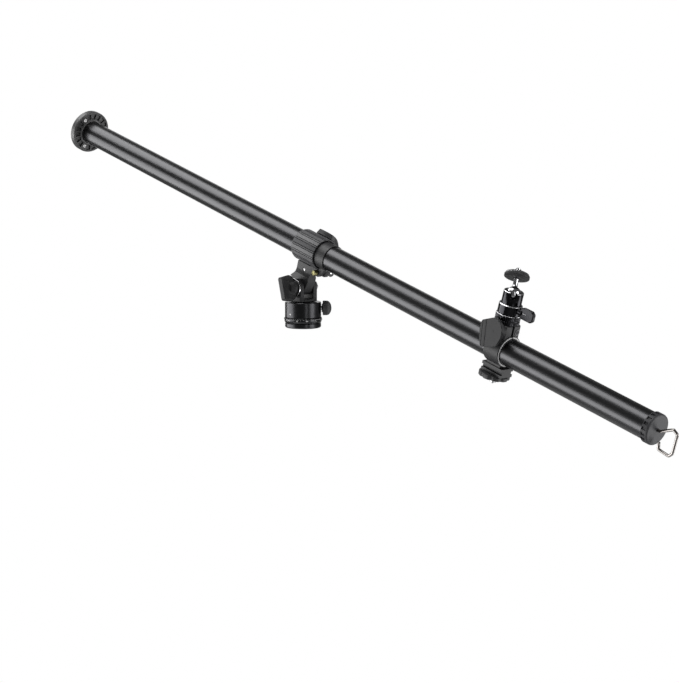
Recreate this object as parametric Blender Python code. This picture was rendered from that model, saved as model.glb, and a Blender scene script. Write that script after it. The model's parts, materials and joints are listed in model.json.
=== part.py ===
"""Tripod extension arm: a tube held in a tilting head, with an accessory clamp, a mini ball head and a hook.

The origin is the centre of the head's bottom face, +Z is the pan axis and +X is the side of the hook end.
Lengths are in metres. Each piece is built in the frame of the empty that carries it.
"""
import math

import bmesh
import bpy
from mathutils import Matrix, Vector

# Fits
GAP = 0.0003
WALL_EDGE = 0.0006

# Arm tube and its ends, with places along the arm from the tilt axis
TUBE_R = 0.014
TUBE_WALL = 0.0015
ARM_SLOPE = 16.5
ARM_HEIGHT = 0.0459
FLANGE_FACE = -0.4262
FLANGE_SEAT = 0.0007
CAP_FACE = 0.497
TUBE_BORE = TUBE_R - TUBE_WALL

# Pan base
BASE_R = 0.0199
BASE_RING_H = 0.005
BASE_CHAMFER = 0.0011
BASE_GROOVE_H = 0.0008
BASE_GROOVE_DEPTH = 0.0014
HUB_R = 0.012
BUSH_R = 0.007
BUSH_BORE = 0.0042
BUSH_H = 0.0121
SCALE_R = 0.021
SCALE_H = 0.0058
SCALE_CHAMFER = 0.0012
PAN_R = 0.02
PAN_H = 0.0166
PAN_ROOF = 0.0026
PAN_BOSS_R = 0.0045
PAN_BOSS_H = 0.0059
FRICTION_R = 0.0172
FRICTION_T = 0.001
PAN_LOCK_DROP = 0.007
PAN_LOCK_ANGLE = 47
PAN_SCREW_R = 0.0025
BRAKE_DEPTH = 0.0014
BRAKE_LENGTH = 0.0017
PAN_KNOB_R = 0.0081
PAN_KNOB_NECK_R = 0.0048
PAN_KNOB_NECK = 0.001
PAN_KNOB_LENGTH = 0.0097
PAN_KNOB_DOME = 0.0052
PAN_KNOB_FLUTES = (10, 0.0006)
PAN_SCREW_REACH = 0.0068

# Yoke and tilt joint
TILT_Z = 0.0446
YOKE_FLOOR = 0.0026
CHEEK_IN = 0.0067
CHEEK_T = 0.0056
CHEEK_R = 0.0099
YOKE_SCREW_R = 0.0025
YOKE_SCREW_HEAD_R = 0.0048
YOKE_SCREW_LENGTH = 0.0103
BOLT_R = 0.003
BOLT_HEAD_R = 0.006
BOLT_HEAD_H = 0.0048
WASHER_R = 0.0102
WASHER_T = 0.0012
DISC_T = 0.0005
KNUCKLE_R = 0.0086
TILT_KNOB_T = 0.0085
TILT_KNOB_HALF = 0.0143
TILT_KNOB_TIP_HALF = 0.0127
TILT_KNOB_LENGTH = 0.0174
TILT_KNOB_BOSS_R = 0.0082
TILT_KNOB_TURN = 14.5
TILT_KNOB_EDGE = 0.0014
TILT_KNOB_ROOT_IN = 0.0012
TILT_KNOB_ROOT_H = 0.0022
TILT_KNOB_WIDEST = 0.4
TILT_KNOB_BOSS_H = 0.0085
TILT_KNOB_BOSS_STEP = 0.004
TILT_KNOB_BOSS_TAPER = 0.0018
TILT_NUT_DEEP = 0.001
TILT_NUT_AF = 0.01
TILT_NUT_H = 0.005
TILT_BOLT_REACH = 0.0095

# Holder, collar and collet
NECK_HALF = 0.0116
NECK_T = 0.0082
NECK_STEP = 0.013
NECK_RAMP = 0.006
NECK_HOLE_R = 0.002
NECK_HOLE_UP = 0.0208
SHOULDER = 0.0176
SHOULDER_LOW = (-0.0097, 0.004)
SHOULDER_TIP_UP = 0.0086
SHOULDER_TOP_IN = 0.0052
SHOULDER_TOP_UP = 0.0138
NECK_LAP = 0.002
NECK_FRONT_UP = 0.0085
COLLAR_WALL = 0.0035
COLLAR_R = TUBE_R + COLLAR_WALL
COLLAR_LEFT = -0.0146
COLLAR_RIGHT = 0.0229
COLLAR_FACE_T = 0.002
COLLAR_RIM = 0.0031
COLLAR_EDGE_IN = 0.0022
COLLAR_EDGE_UP = 0.0009
COLLAR_SHOULDER_IN = 0.0008
COLLAR_SHOULDER_UP = 0.0026
COLLAR_FLUTE_FROM = 0.001
COLLAR_FLUTES = 16
COLLAR_FLUTE_DEPTH = 0.0006
SLEEVE_END = 0.037
SLEEVE_WALL = 0.001
SLEEVE_R = TUBE_R + SLEEVE_WALL
THREAD_STEP = 0.0006
SLEEVE_THREAD_R = SLEEVE_R + THREAD_STEP
COLLET_LENGTH = 0.0083
COLLET_WALL = 0.0019
COLLET_R = TUBE_R + COLLET_WALL
COLLET_TAPER = 0.0006
COLLET_SLIT = 0.0012
SLIT_NEAR = 0.0009
SLIT_W = 0.0015
EAR_NEAR_END = 0.0255
EAR_FAR_END = 0.0285
EAR_FAR_START = 0.013
EAR_FAR_OUT = 0.0085
EAR_CORNER = 0.002
EAR_REACH = 0.006
EAR_LAP = 0.002
EAR_FAR_LAP = 0.0035
EAR_FAR_OVER = 0.001
EAR_FAR_RISE = 0.0076
EAR_BELOW = 0.0111
EAR_DEPTH = TUBE_R + EAR_BELOW
CLAMP_ALONG = 0.0204
CLAMP_BELOW = 0.0074
CLAMP_DROP = TUBE_R + CLAMP_BELOW
CLAMP_BOLT_R = 0.002
CLAMP_NUT_R = 0.0028
CLAMP_NUT_H = 0.0042
CLAMP_NUT_HOLLOW = 0.0008
CLAMP_NUT_STEP = 0.0012
CLAMP_NUT_SKIN = 0.0005
LEVER_WASHER_R = 0.0042
LEVER_WASHER_T = 0.0008
LEVER_HUB_R = 0.0045
LEVER_HUB_HALF = 0.0044
LEVER_PIN_R = 0.0015
LEVER_EYE_R = 0.0034
LEVER_EYE_T = 0.004
LEVER_CLEAR = 0.0065
LEVER_IN_R = TUBE_R + LEVER_CLEAR
LEVER_T = 0.003
LEVER_LEFT = -0.0085
LEVER_RIGHT = 0.0205
LEVER_EDGE = 0.0003
LEVER_TOP = 66
LEVER_ROOT = -46
LEVER_CORNER = 26
LEVER_NARROWING = 0.36
LEVER_ROOT_SPAN = 36
LEVER_BEVEL = 0.0012
LEVER_WEB_T = 0.0006
LEVER_WEB_OVER = 0.002

# Flange
FLANGE_R = 0.0256
FLANGE_T = 0.0078
FLANGE_RING_WALL = 0.0016
FLANGE_RING_R = TUBE_R + FLANGE_RING_WALL
FLANGE_RING_H = 0.0012
FLANGE_POCKET_DEPTH = 0.0022
FLANGE_POCKETS = 18
FLANGE_POCKET_IN = 0.001
FLANGE_POCKET_SHARE = 0.36
FLANGE_RIM = 0.0026
FLANGE_SCREW_PLACE = 0.019
FLANGE_SCREW_R = 0.002
FLANGE_SCREWS = (128, 248, 8)
FLANGE_SCREW_PROUD = 0.0004
SOCKET_AF = 0.0022
SOCKET_DEPTH = 0.0014
FLANGE_PAD_T = 0.0008
FLANGE_PAD_IN = 0.008
FLANGE_STUD_R = 0.0046
FLANGE_STUD_OUT = 0.011
STUD_CHAMFER = 0.0008
PLUG_LENGTH = 0.02

# End cap and hook
CAP_OVER = 0.0016
CAP_R = TUBE_R + CAP_OVER
CAP_CHAMFER = 0.0014
CAP_LENGTH = 0.008
CAP_SPIGOT = 0.0155
CAP_NOTCHES = 8
CAP_NOTCH_DEPTH = 0.0012
CAP_NOTCH_W = 0.004
CAP_NOTCH_SHARE = 0.45
HOOK_WIRE_R = 0.0015
HOOK_BEND_R = 0.0017
HOOK_TAIL = 0.0445
HOOK_ROUTE = (
    (0.003, 0),
    (0.0167, 0.0078),
    (0.0222, 0.005),
    (0.0222, -0.0138),
    (0.0188, -0.0177),
    (0.0062, -0.0165),
    (0.0047, -0.0098),
)
HOOK_HEAD_R = 0.0028
HOOK_HEAD_H = 0.0014
HOOK_HEAD_OVER = 0.0005
HOOK_WASHER_R = 0.0058
HOOK_WASHER_T = 0.0014
SPRING_R = 0.0042
SPRING_WIRE_R = 0.0005
SPRING_TURNS = 6
SPRING_STEPS = 8

# Accessory clamp
RING_PLACE = 0.29495
RING_HALF = 0.0096
RING_WALL = 0.0024
RING_R = TUBE_R + RING_WALL
LINER_CLEAR = 0.00025
LINER_IN = TUBE_R + LINER_CLEAR
LINER_T = 0.0005
LINER_LIP_OVER = 0.0016
LINER_LIP_R = TUBE_R + LINER_LIP_OVER
LINER_LIP_T = 0.00065
LINER_SLIT = 0.0014
RING_EAR_OUT = 0.011
RING_EAR_OVER = 0.013
RING_EAR_TOP = TUBE_R + RING_EAR_OVER
RING_EAR_EDGE = 0.0012
RING_EAR_LAP = 0.005
RING_EAR_BACK = -0.0098
RING_EAR_FRONT = 0.0088
RING_SLOT = 0.003
RING_BOLT_ALONG = 0.00455
RING_BOLT_OVER = 0.007
RING_BOLT_UP = TUBE_R + RING_BOLT_OVER
RING_BOLT_R = 0.002
RING_NUT_AF = 0.007
RING_NUT_H = 0.0032
RING_NUT_SUNK = 0.0006
RING_BOLT_SUNK = 0.0004
BASE_STUD_DEPTH = 0.0085
FOOT_HALF_LENGTH = 0.0135
FOOT_HALF_WIDTH = 0.0085
FOOT_GROOVE_HALF = 0.0063
FOOT_BELOW = 0.0032
FOOT_TOP = -TUBE_R - FOOT_BELOW
FOOT_LAP = 0.0005
FOOT_STEM_IN = 0.0004
FOOT_STEM_HALF = 0.0075
FOOT_STEM_TOP = 0.0037
FOOT_LIP = 0.003
FOOT_GROOVE = 0.0032
PADDLE_T = 0.0035
PADDLE_OUTLINE = (
    (-0.0146, -0.0214),
    (-0.0008, -0.0164),
    (0.0041, -0.0138),
    (0.0078, -0.003),
    (0.0074, 0.0045),
    (0.0035, 0.0102),
    (-0.0022, 0.0127),
    (-0.0087, 0.0116),
    (-0.0201, 0.0052),
    (-0.0213, 0.0025),
    (-0.0215, -0.0045),
    (-0.0197, -0.013),
    (-0.0165, -0.0205),
)
PADDLE_EDGE = 0.0005
PADDLE_SKIN = 0.0012
PADDLE_HUB_R = 0.008
PADDLE_NECK_R = 0.0055
PADDLE_CLEAR = 0.0008
PADDLE_IN = 0.0169
HEAD_PLACE = -0.0017
QUARTER_INCH_R = 0.0031
PLATE_STUD_OUT = 0.0065
PLATE_STUD_IN = 0.0066
THUMB_R = 0.016
THUMB_T = 0.0044
THUMB_LOBES = 9
THUMB_LOBE_DEPTH = 0.0012
THUMB_LOBE_FROM = 0.002
THUMB_EDGE = 0.0008

# Mini ball head, with heights from the arm axis
BALL_UP = 0.057
HEAD_BASE_R = 0.012
HEAD_TOP_R = 0.0102
HEAD_NECK_R = 0.0102
HEAD_EDGE = 0.0008
LOCK_RING_R = 0.0127
LOCK_RING_H = 0.0095
LOCK_RING_FLUTES = (24, 0.0003)
HEAD_BASE_H = 0.0197
HEAD_RIM = 0.003
HEAD_TOP = BALL_UP + HEAD_RIM
HEAD_STUD_IN = 0.006
HEAD_FLOOR = 0.002
BALL_R = 0.0075
BALL_BORE_FLOOR = 0.001
NOTCH_CLEAR = 0.0006
BALL_LEAN = 36.5
BALL_LEAN_TURN = 132.7
PAD_R = 0.0063
PAD_RIM = 0.0004
WING_DROP = 0.0137
WING_UP = BALL_UP - WING_DROP
STEM_R = 0.00265
STEM_PIN_R = 0.0019
STEM_LENGTH = 0.0085
STEM_PIN_OUT = 0.0016
TOP_DISC_R = 0.01275
TOP_DISC_T = 0.0044
TOP_DISC_FLUTES = (18, 0.0004, 0.0002)
TOP_DISC_CHAMFER = (0.0028, 0.0013)
TOP_DISC_FLOOR = 0.0018
DISC_PAD_IN = 0.0042
DISC_PAD_EDGE = 0.001
DISC_PAD_T = 0.0008
TOP_STUD_OUT = 0.0055
WING_SCREW_R = 0.002
WING_ROOT = 0.0027
WING_REACH = 0.0325
WING_HALF = 0.006
WING_T = 0.0045
WING_CORNER = 0.002
WING_TIP = (0.0025, 0.003)
WING_EDGE = 0.0009
WING_ROOT_R = 0.0038
WING_SCREW_START = 0.0015
WING_SCREW_IN = 0.008


def turned(name, profile, segments=32, direction=(0, 0, 1), place=(0, 0, 0), flutes=None):
    """A closed outline of radius and height, turned about a direction through a place."""
    mesh = bmesh.new()
    rings = []
    for radius, height in profile:
        if radius <= 0:
            rings.append([mesh.verts.new((0, 0, height))])
            continue
        ring = []
        for step in range(segments):
            angle = math.tau * step / segments
            reach = radius
            if flutes and radius > flutes[2]:
                reach -= flutes[1] * max(0.0, -math.cos(flutes[0] * angle))
            ring.append(mesh.verts.new((reach * math.cos(angle), reach * math.sin(angle), height)))
        rings.append(ring)
    for lower, upper in zip(rings, rings[1:] + rings[:1]):
        for step in range(segments):
            after = (step + 1) % segments
            corners = [lower[step % len(lower)], lower[after % len(lower)]]
            corners += [upper[after % len(upper)], upper[step % len(upper)]]
            loop = list(dict.fromkeys(corners))
            if len(loop) > 2:
                mesh.faces.new(loop)
    turn = Vector((0, 0, 1)).rotation_difference(Vector(direction)).to_matrix().to_4x4()
    mesh.transform(Matrix.Translation(place) @ turn)
    return solid(name, mesh)


def solid(name, mesh):
    """An object from a bmesh, with its faces turned outward."""
    bmesh.ops.recalc_face_normals(mesh, faces=mesh.faces)
    data = bpy.data.meshes.new(name)
    mesh.to_mesh(data)
    mesh.free()
    piece = bpy.data.objects.new(name, data)
    bpy.context.scene.collection.objects.link(piece)
    return piece


def prism(name, outline, low, high, axis="Z"):
    """A flat outline drawn out along an axis; the outline is XY, XZ for Y, or YZ for X."""
    lifts = {"X": lambda u, v, w: (w, u, v), "Y": lambda u, v, w: (u, w, v), "Z": lambda u, v, w: (u, v, w)}
    lift = lifts[axis]
    mesh = bmesh.new()
    ends = [[mesh.verts.new(lift(u, v, w)) for u, v in outline] for w in (low, high)]
    for end in ends:
        mesh.faces.new(end)
    for step in range(len(outline)):
        after = (step + 1) % len(outline)
        mesh.faces.new((ends[0][step], ends[0][after], ends[1][after], ends[1][step]))
    return solid(name, mesh)


def block(name, low, high):
    """A box between two corners."""
    outline = [(low[0], low[1]), (high[0], low[1]), (high[0], high[1]), (low[0], high[1])]
    return prism(name, outline, low[2], high[2])


def rod(name, radius, start, end, segments=24):
    """A plain cylinder between two points."""
    along = Vector(end) - Vector(start)
    profile = [(0, 0), (radius, 0), (radius, along.length), (0, along.length)]
    return turned(name, profile, segments, along.normalized(), start)


def arc(centre, radius, start, end, steps):
    """Points on an arc, with its angles in degrees."""
    points = []
    for step in range(steps + 1):
        angle = math.radians(start + (end - start) * step / steps)
        points.append((centre[0] + radius * math.cos(angle), centre[1] + radius * math.sin(angle)))
    return points


def hexagon(across, place=(0, 0)):
    """A hexagon by its width across flats."""
    radius = across / math.sqrt(3)
    return arc(place, radius, 0, 300, 5)


def settle(piece):
    """Keeps the result of the modifiers as the mesh."""
    graph = bpy.context.evaluated_depsgraph_get()
    data = bpy.data.meshes.new_from_object(piece.evaluated_get(graph))
    piece.modifiers.clear()
    piece.data = data


def combine(piece, other, operation):
    """Adds or cuts away another solid."""
    change = piece.modifiers.new("change", "BOOLEAN")
    change.operation = operation
    change.solver = "EXACT"
    change.object = other
    settle(piece)
    bpy.data.objects.remove(other)
    return piece


def join(piece, *others):
    for other in others:
        combine(piece, other, "UNION")
    return piece


def cut(piece, first, *others):
    """Cuts away all the solids at once, joined to one."""
    return combine(piece, join(first, *others), "DIFFERENCE")


def soften(piece, width, segments=1):
    """Bevels the sharp edges."""
    edge = piece.modifiers.new("edge", "BEVEL")
    edge.width = width
    edge.segments = segments
    edge.limit_method = "ANGLE"
    edge.angle_limit = math.radians(40)
    settle(piece)
    return piece


def frame(name, parent=None, place=(0, 0, 0), turn=(0, 0, 0)):
    """An empty on a joint's axis, placed in its parent's frame."""
    empty = bpy.data.objects.new(name, None)
    bpy.context.scene.collection.objects.link(empty)
    empty.parent = parent
    empty.location = place
    empty.rotation_euler = [math.radians(angle) for angle in turn]
    return empty


def carry(parent, material, *pieces):
    """Hangs pieces on a frame and gives them their material."""
    for piece in pieces:
        piece.parent = parent
        own = material.copy()
        own.name = f"{piece.name}_material"
        piece.data.materials.clear()
        piece.data.materials.append(own)
        piece.data.shade_smooth()
        piece.data.set_sharp_from_angle(angle=math.radians(32))


def plain_material(name, colour, metallic, roughness):
    material = bpy.data.materials.new(name)
    material.use_nodes = True
    shader = material.node_tree.nodes["Principled BSDF"]
    shader.inputs["Base Color"].default_value = (*colour, 1)
    shader.inputs["Metallic"].default_value = metallic
    shader.inputs["Roughness"].default_value = roughness
    return material


# Heights worked out from the sizes above
SCALE_Z = BASE_RING_H + BASE_GROOVE_H
SCALE_TOP = SCALE_Z + SCALE_H
PAN_Z = SCALE_TOP + GAP
PAN_TOP = PAN_Z + PAN_H
PAN_LOCK_Z = PAN_TOP - PAN_LOCK_DROP
HUB_TOP = PAN_TOP - PAN_ROOF - GAP
YOKE_Z = PAN_TOP + GAP
FLOOR_Z = YOKE_Z + YOKE_FLOOR
CHEEK_OUT = CHEEK_IN + CHEEK_T
KNUCKLE_HALF = CHEEK_IN - DISC_T - 2 * GAP
SLEEVE_BORE = TUBE_R + GAP
CLAMP_UP = ARM_HEIGHT - CLAMP_DROP
LEVER_PIN_OUT = EAR_FAR_OUT + 2 * GAP + LEVER_WASHER_T + LEVER_HUB_R
FOOT_BOTTOM = FOOT_TOP - 2 * FOOT_LIP - FOOT_GROOVE
THUMB_TOP = FOOT_BOTTOM - GAP
THUMB_BOTTOM = THUMB_TOP - THUMB_T
HEAD_Z = RING_EAR_TOP + GAP


def base_plate():
    """The foot with its hub, the brake groove round the hub and the pocket for the pan body's boss."""
    groove_low = PAN_LOCK_Z - PAN_SCREW_R - GAP
    groove_high = PAN_LOCK_Z + PAN_SCREW_R + GAP
    pocket_r = PAN_BOSS_R + 2 * GAP
    pocket_z = PAN_TOP - PAN_ROOF - PAN_BOSS_H - 2 * GAP
    profile = [
        (BUSH_R + GAP, 0),
        (BASE_R - BASE_CHAMFER, 0),
        (BASE_R, BASE_CHAMFER),
        (BASE_R, BASE_RING_H),
        (BASE_R - BASE_GROOVE_DEPTH, BASE_RING_H),
        (BASE_R - BASE_GROOVE_DEPTH, SCALE_Z - GAP),
        (HUB_R, SCALE_Z - GAP),
        (HUB_R, groove_low),
        (HUB_R - BRAKE_DEPTH, groove_low),
        (HUB_R - BRAKE_DEPTH, groove_high),
        (HUB_R, groove_high),
        (HUB_R, HUB_TOP),
        (pocket_r, HUB_TOP),
        (pocket_r, pocket_z),
        (0, pocket_z),
        (0, BUSH_H + 2 * GAP),
        (BUSH_R + GAP, BUSH_H + 2 * GAP),
    ]
    return turned("base_plate", profile, 28)


def thread_bush():
    profile = [(BUSH_BORE, GAP), (BUSH_R, GAP), (BUSH_R, GAP + BUSH_H), (BUSH_BORE, GAP + BUSH_H)]
    return turned("thread_bush", profile, 24)


def scale_ring():
    recess = SCALE_TOP + GAP / 2 - FRICTION_T / 2 - GAP
    profile = [
        (HUB_R + GAP, SCALE_Z),
        (BASE_R, SCALE_Z),
        (SCALE_R, SCALE_Z + 2 * SCALE_CHAMFER),
        (SCALE_R, SCALE_TOP - SCALE_CHAMFER),
        (PAN_R + GAP, SCALE_TOP),
        (FRICTION_R + GAP, SCALE_TOP),
        (FRICTION_R + GAP, recess),
        (HUB_R + GAP, recess),
    ]
    return turned("scale_ring", profile, 32)


def pan_friction_ring():
    middle = SCALE_TOP + GAP / 2
    low = middle - FRICTION_T / 2
    high = middle + FRICTION_T / 2
    inner = HUB_R + 2 * GAP
    profile = [(inner, low), (FRICTION_R, low), (FRICTION_R, high), (inner, high)]
    return turned("pan_friction_ring", profile, 24)


def pan_body():
    """A cap over the hub, with a boss that takes the yoke's screw and a hole for the lock screw."""
    recess = SCALE_TOP + GAP / 2 + FRICTION_T / 2 + GAP
    roof = PAN_TOP - PAN_ROOF
    profile = [
        (PAN_R, PAN_Z),
        (PAN_R, PAN_TOP - WALL_EDGE),
        (PAN_R - WALL_EDGE, PAN_TOP),
        (YOKE_SCREW_R + GAP, PAN_TOP),
        (YOKE_SCREW_R + GAP, roof - PAN_BOSS_H),
        (PAN_BOSS_R, roof - PAN_BOSS_H),
        (PAN_BOSS_R, roof),
        (HUB_R + GAP, roof),
        (HUB_R + GAP, recess),
        (FRICTION_R + GAP, recess),
        (FRICTION_R + GAP, PAN_Z),
    ]
    body = turned("pan_body", profile, 30)
    angle = math.radians(PAN_LOCK_ANGLE)
    out = Vector((math.cos(angle), math.sin(angle), 0))
    low = out * (HUB_R - GAP) + Vector((0, 0, PAN_LOCK_Z))
    high = out * (PAN_R + 2 * GAP) + Vector((0, 0, PAN_LOCK_Z))
    return cut(body, rod("hole", PAN_SCREW_R + GAP, low, high, 16))


def pan_lock():
    """The brake shoe, the screw and the knob, drawn along the screw's axis."""
    shoe_in = HUB_R - BRAKE_DEPTH + GAP
    shoe = rod("pan_brake_shoe", PAN_SCREW_R, (0, 0, shoe_in), (0, 0, shoe_in + BRAKE_LENGTH), 16)
    screw_in = shoe_in + BRAKE_LENGTH + GAP
    knob_in = PAN_R + 2 * GAP
    screw_out = knob_in + PAN_SCREW_REACH
    screw = rod("pan_lock_screw", PAN_SCREW_R, (0, 0, screw_in), (0, 0, screw_out), 16)
    shoulder = knob_in + PAN_KNOB_NECK
    tip = shoulder + PAN_KNOB_LENGTH
    profile = [(PAN_SCREW_R + GAP, knob_in), (PAN_KNOB_NECK_R, knob_in), (PAN_KNOB_NECK_R, shoulder)]
    profile += [(PAN_KNOB_R - WALL_EDGE, shoulder), (PAN_KNOB_R, shoulder + WALL_EDGE)]
    low = tip - PAN_KNOB_DOME
    profile += [(u, low + v * PAN_KNOB_DOME / PAN_KNOB_R) for u, v in arc((0, 0), PAN_KNOB_R, 0, 75, 4)]
    profile += [(0, tip), (0, screw_out + GAP), (PAN_SCREW_R + GAP, screw_out + GAP)]
    knob = turned("pan_lock_knob", profile, 30, flutes=(*PAN_KNOB_FLUTES, PAN_KNOB_R * 0.8))
    return shoe, screw, knob


def yoke_fork():
    """The fork's two cheeks on a floor, with the tilt bolt's holes and a countersunk screw hole."""
    outline = [(-CHEEK_R, YOKE_Z), (CHEEK_R, YOKE_Z)] + arc((0, TILT_Z), CHEEK_R, 0, 180, 14)
    fork = prism("yoke_fork", outline, -CHEEK_OUT, CHEEK_OUT, "Y")
    high = TILT_Z + 2 * CHEEK_R
    cut(fork, block("space", (-2 * CHEEK_R, -CHEEK_IN, FLOOR_Z), (2 * CHEEK_R, CHEEK_IN, high)))
    soften(fork, WALL_EDGE)
    reach = 2 * CHEEK_OUT
    bore = rod("bore", BOLT_R + GAP, (0, -reach, TILT_Z), (0, reach, TILT_Z))
    return cut(fork, bore, countersunk("seat", GAP))


def countersunk(name, clear):
    """The yoke's screw, or with a clearance the hole that it sits in."""
    face = FLOOR_Z - GAP
    low = YOKE_Z - GAP if clear else face - YOKE_SCREW_LENGTH
    profile = [
        (0, low),
        (YOKE_SCREW_R + clear, low),
        (YOKE_SCREW_R + clear, face - 0.6 * YOKE_FLOOR - clear),
        (YOKE_SCREW_HEAD_R + clear, face - clear),
        (YOKE_SCREW_HEAD_R + clear, face + 2 * clear),
        (0, face + 2 * clear),
    ]
    if not clear:
        profile.pop(-2)
    return turned(name, profile, 20)


def tilt_joint():
    """The bolt, its washer, the friction discs, the nut and the wing knob, drawn along -Y."""
    head_face = -(CHEEK_OUT + GAP)
    washer_in = CHEEK_OUT + GAP
    knob_in = washer_in + WASHER_T + GAP
    bolt_end = knob_in + TILT_BOLT_REACH
    bolt = rod("tilt_bolt", BOLT_R, (0, 0, head_face), (0, 0, bolt_end), 20)
    head_outline = hexagon(2 * BOLT_HEAD_R * 0.87)
    head = prism("head", head_outline, head_face - BOLT_HEAD_H, head_face)
    join(bolt, soften(head, WALL_EDGE / 2))
    profile = [(BOLT_R + GAP, 0), (WASHER_R, 0), (WASHER_R, WASHER_T), (BOLT_R + GAP, WASHER_T)]
    washer = turned("tilt_washer", profile, 28, place=(0, 0, washer_in))
    discs = []
    for name, side in (("tilt_disc_near", 1), ("tilt_disc_far", -1)):
        middle = side * (CHEEK_IN - GAP - DISC_T / 2)
        ring = [(BOLT_R + GAP, -DISC_T / 2), (KNUCKLE_R, -DISC_T / 2), (KNUCKLE_R, DISC_T / 2)]
        ring.append((BOLT_R + GAP, DISC_T / 2))
        discs.append(turned(name, ring, 20, place=(0, 0, middle)))
    nut_in = knob_in + GAP + TILT_NUT_DEEP
    nut = prism("tilt_nut", hexagon(TILT_NUT_AF), nut_in, nut_in + TILT_NUT_H)
    cut(nut, rod("bore", BOLT_R + GAP, (0, 0, 0), (0, 0, 2 * bolt_end), 20))
    knob = tilt_knob(knob_in, bolt_end, nut_in)
    return bolt, washer, discs, nut, knob


def tilt_knob(knob_in, bolt_end, nut_in):
    """A wing with a round boss, hollow for the nut and the bolt's end."""
    tip = knob_in + TILT_KNOB_LENGTH
    widest = knob_in + TILT_KNOB_WIDEST * TILT_KNOB_LENGTH
    half = [(TILT_KNOB_BOSS_R, knob_in), (TILT_KNOB_HALF - TILT_KNOB_ROOT_IN, knob_in + TILT_KNOB_ROOT_H)]
    half += [(TILT_KNOB_HALF, widest), (TILT_KNOB_TIP_HALF, tip)]
    outline = half + [(-u, v) for u, v in reversed(half)]
    wing = prism("tilt_knob", outline, -TILT_KNOB_T / 2, TILT_KNOB_T / 2, "X")
    soften(wing, TILT_KNOB_EDGE)
    boss_top = knob_in + TILT_KNOB_BOSS_H
    boss = [(0, knob_in), (TILT_KNOB_BOSS_R, knob_in), (TILT_KNOB_BOSS_R, knob_in + TILT_KNOB_BOSS_STEP)]
    boss += [(TILT_KNOB_BOSS_R - TILT_KNOB_BOSS_TAPER, boss_top), (0, boss_top)]
    join(wing, turned("boss", boss, 24))
    pocket = prism("pocket", hexagon(TILT_NUT_AF + 2 * GAP), nut_in - GAP, nut_in + TILT_NUT_H + GAP)
    bore = rod("bore", BOLT_R + GAP, (0, 0, 0), (0, 0, bolt_end + GAP), 20)
    return cut(wing, join(pocket, bore))


def arm_holder():
    """Knuckle, neck, split sleeve and its two ears, drawn from the tilt axis."""
    low = [(KNUCKLE_R, 0)] + arc((0, 0), KNUCKLE_R, 0, -180, 12)[1:]
    low += [SHOULDER_LOW, (-SHOULDER, SHOULDER_TIP_UP), (-SHOULDER + SHOULDER_TOP_IN, SHOULDER_TOP_UP)]
    low += [(-NECK_HALF, NECK_STEP + NECK_LAP), (NECK_HALF, NECK_STEP + NECK_LAP), (NECK_HALF, NECK_FRONT_UP)]
    body = prism("arm_holder", low, -KNUCKLE_HALF, KNUCKLE_HALF, "Y")
    neck_top = ARM_HEIGHT - COLLAR_R - 2 * GAP
    ramp = [(-KNUCKLE_HALF, NECK_STEP), (KNUCKLE_HALF, NECK_STEP), (NECK_T / 2, NECK_STEP + NECK_RAMP)]
    ramp += [(-NECK_T / 2, NECK_STEP + NECK_RAMP)]
    join(body, prism("ramp", ramp, -NECK_HALF, NECK_HALF, "X"))
    join(body, block("neck", (-NECK_HALF, -NECK_T / 2, NECK_STEP), (NECK_HALF, NECK_T / 2, neck_top)))
    ear_low = ARM_HEIGHT - EAR_DEPTH
    ear_high = ARM_HEIGHT - TUBE_R + EAR_LAP
    near = [(NECK_HALF - NECK_LAP, ear_low), (EAR_NEAR_END - EAR_CORNER, ear_low)]
    near += [(EAR_NEAR_END, ear_low + EAR_CORNER), (EAR_NEAR_END + EAR_REACH, ARM_HEIGHT - SLEEVE_R)]
    near += [(EAR_NEAR_END + EAR_REACH, ear_high), (NECK_HALF - NECK_LAP, ear_high)]
    near_ear = prism("near_ear", near, -NECK_T / 2, SLIT_NEAR, "Y")
    far_high = ARM_HEIGHT - TUBE_R + EAR_FAR_LAP
    far = [(EAR_FAR_START, ear_low), (EAR_NEAR_END + EAR_FAR_OVER, ear_low)]
    far += [(EAR_FAR_END, ear_low + EAR_FAR_RISE), (EAR_FAR_END, far_high), (EAR_FAR_START, far_high)]
    far_ear = soften(prism("far_ear", far, SLIT_NEAR + SLIT_W, EAR_FAR_OUT, "Y"), WALL_EDGE)
    collar_space = (Vector((2 * COLLAR_LEFT, 0, ARM_HEIGHT)), Vector((COLLAR_RIGHT + GAP, 0, ARM_HEIGHT)))
    for ear in (near_ear, far_ear):
        cut(ear, rod("collar_space", COLLAR_R + 2 * GAP, *collar_space, 40))
    join(body, near_ear)
    sleeve = arm_sleeve()
    join(sleeve, far_ear)
    join(body, sleeve)
    along = Vector((2 * SLEEVE_END, 0, 0))
    middle = Vector((0, 0, ARM_HEIGHT))
    wide = Vector((0, 2 * CHEEK_OUT, 0))
    small = Vector((0, 0, NECK_HOLE_UP))
    clamp = Vector((CLAMP_ALONG, 0, CLAMP_UP))
    return cut(
        body,
        rod("arm_bore", SLEEVE_BORE, middle - along, middle + along, 36),
        rod("tilt_bore", BOLT_R + GAP, -wide, wide, 24),
        rod("small_hole", NECK_HOLE_R, small - wide, small + wide, 16),
        rod("clamp_bore", CLAMP_BOLT_R + GAP, clamp - wide, clamp + wide, 16),
    )


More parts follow.
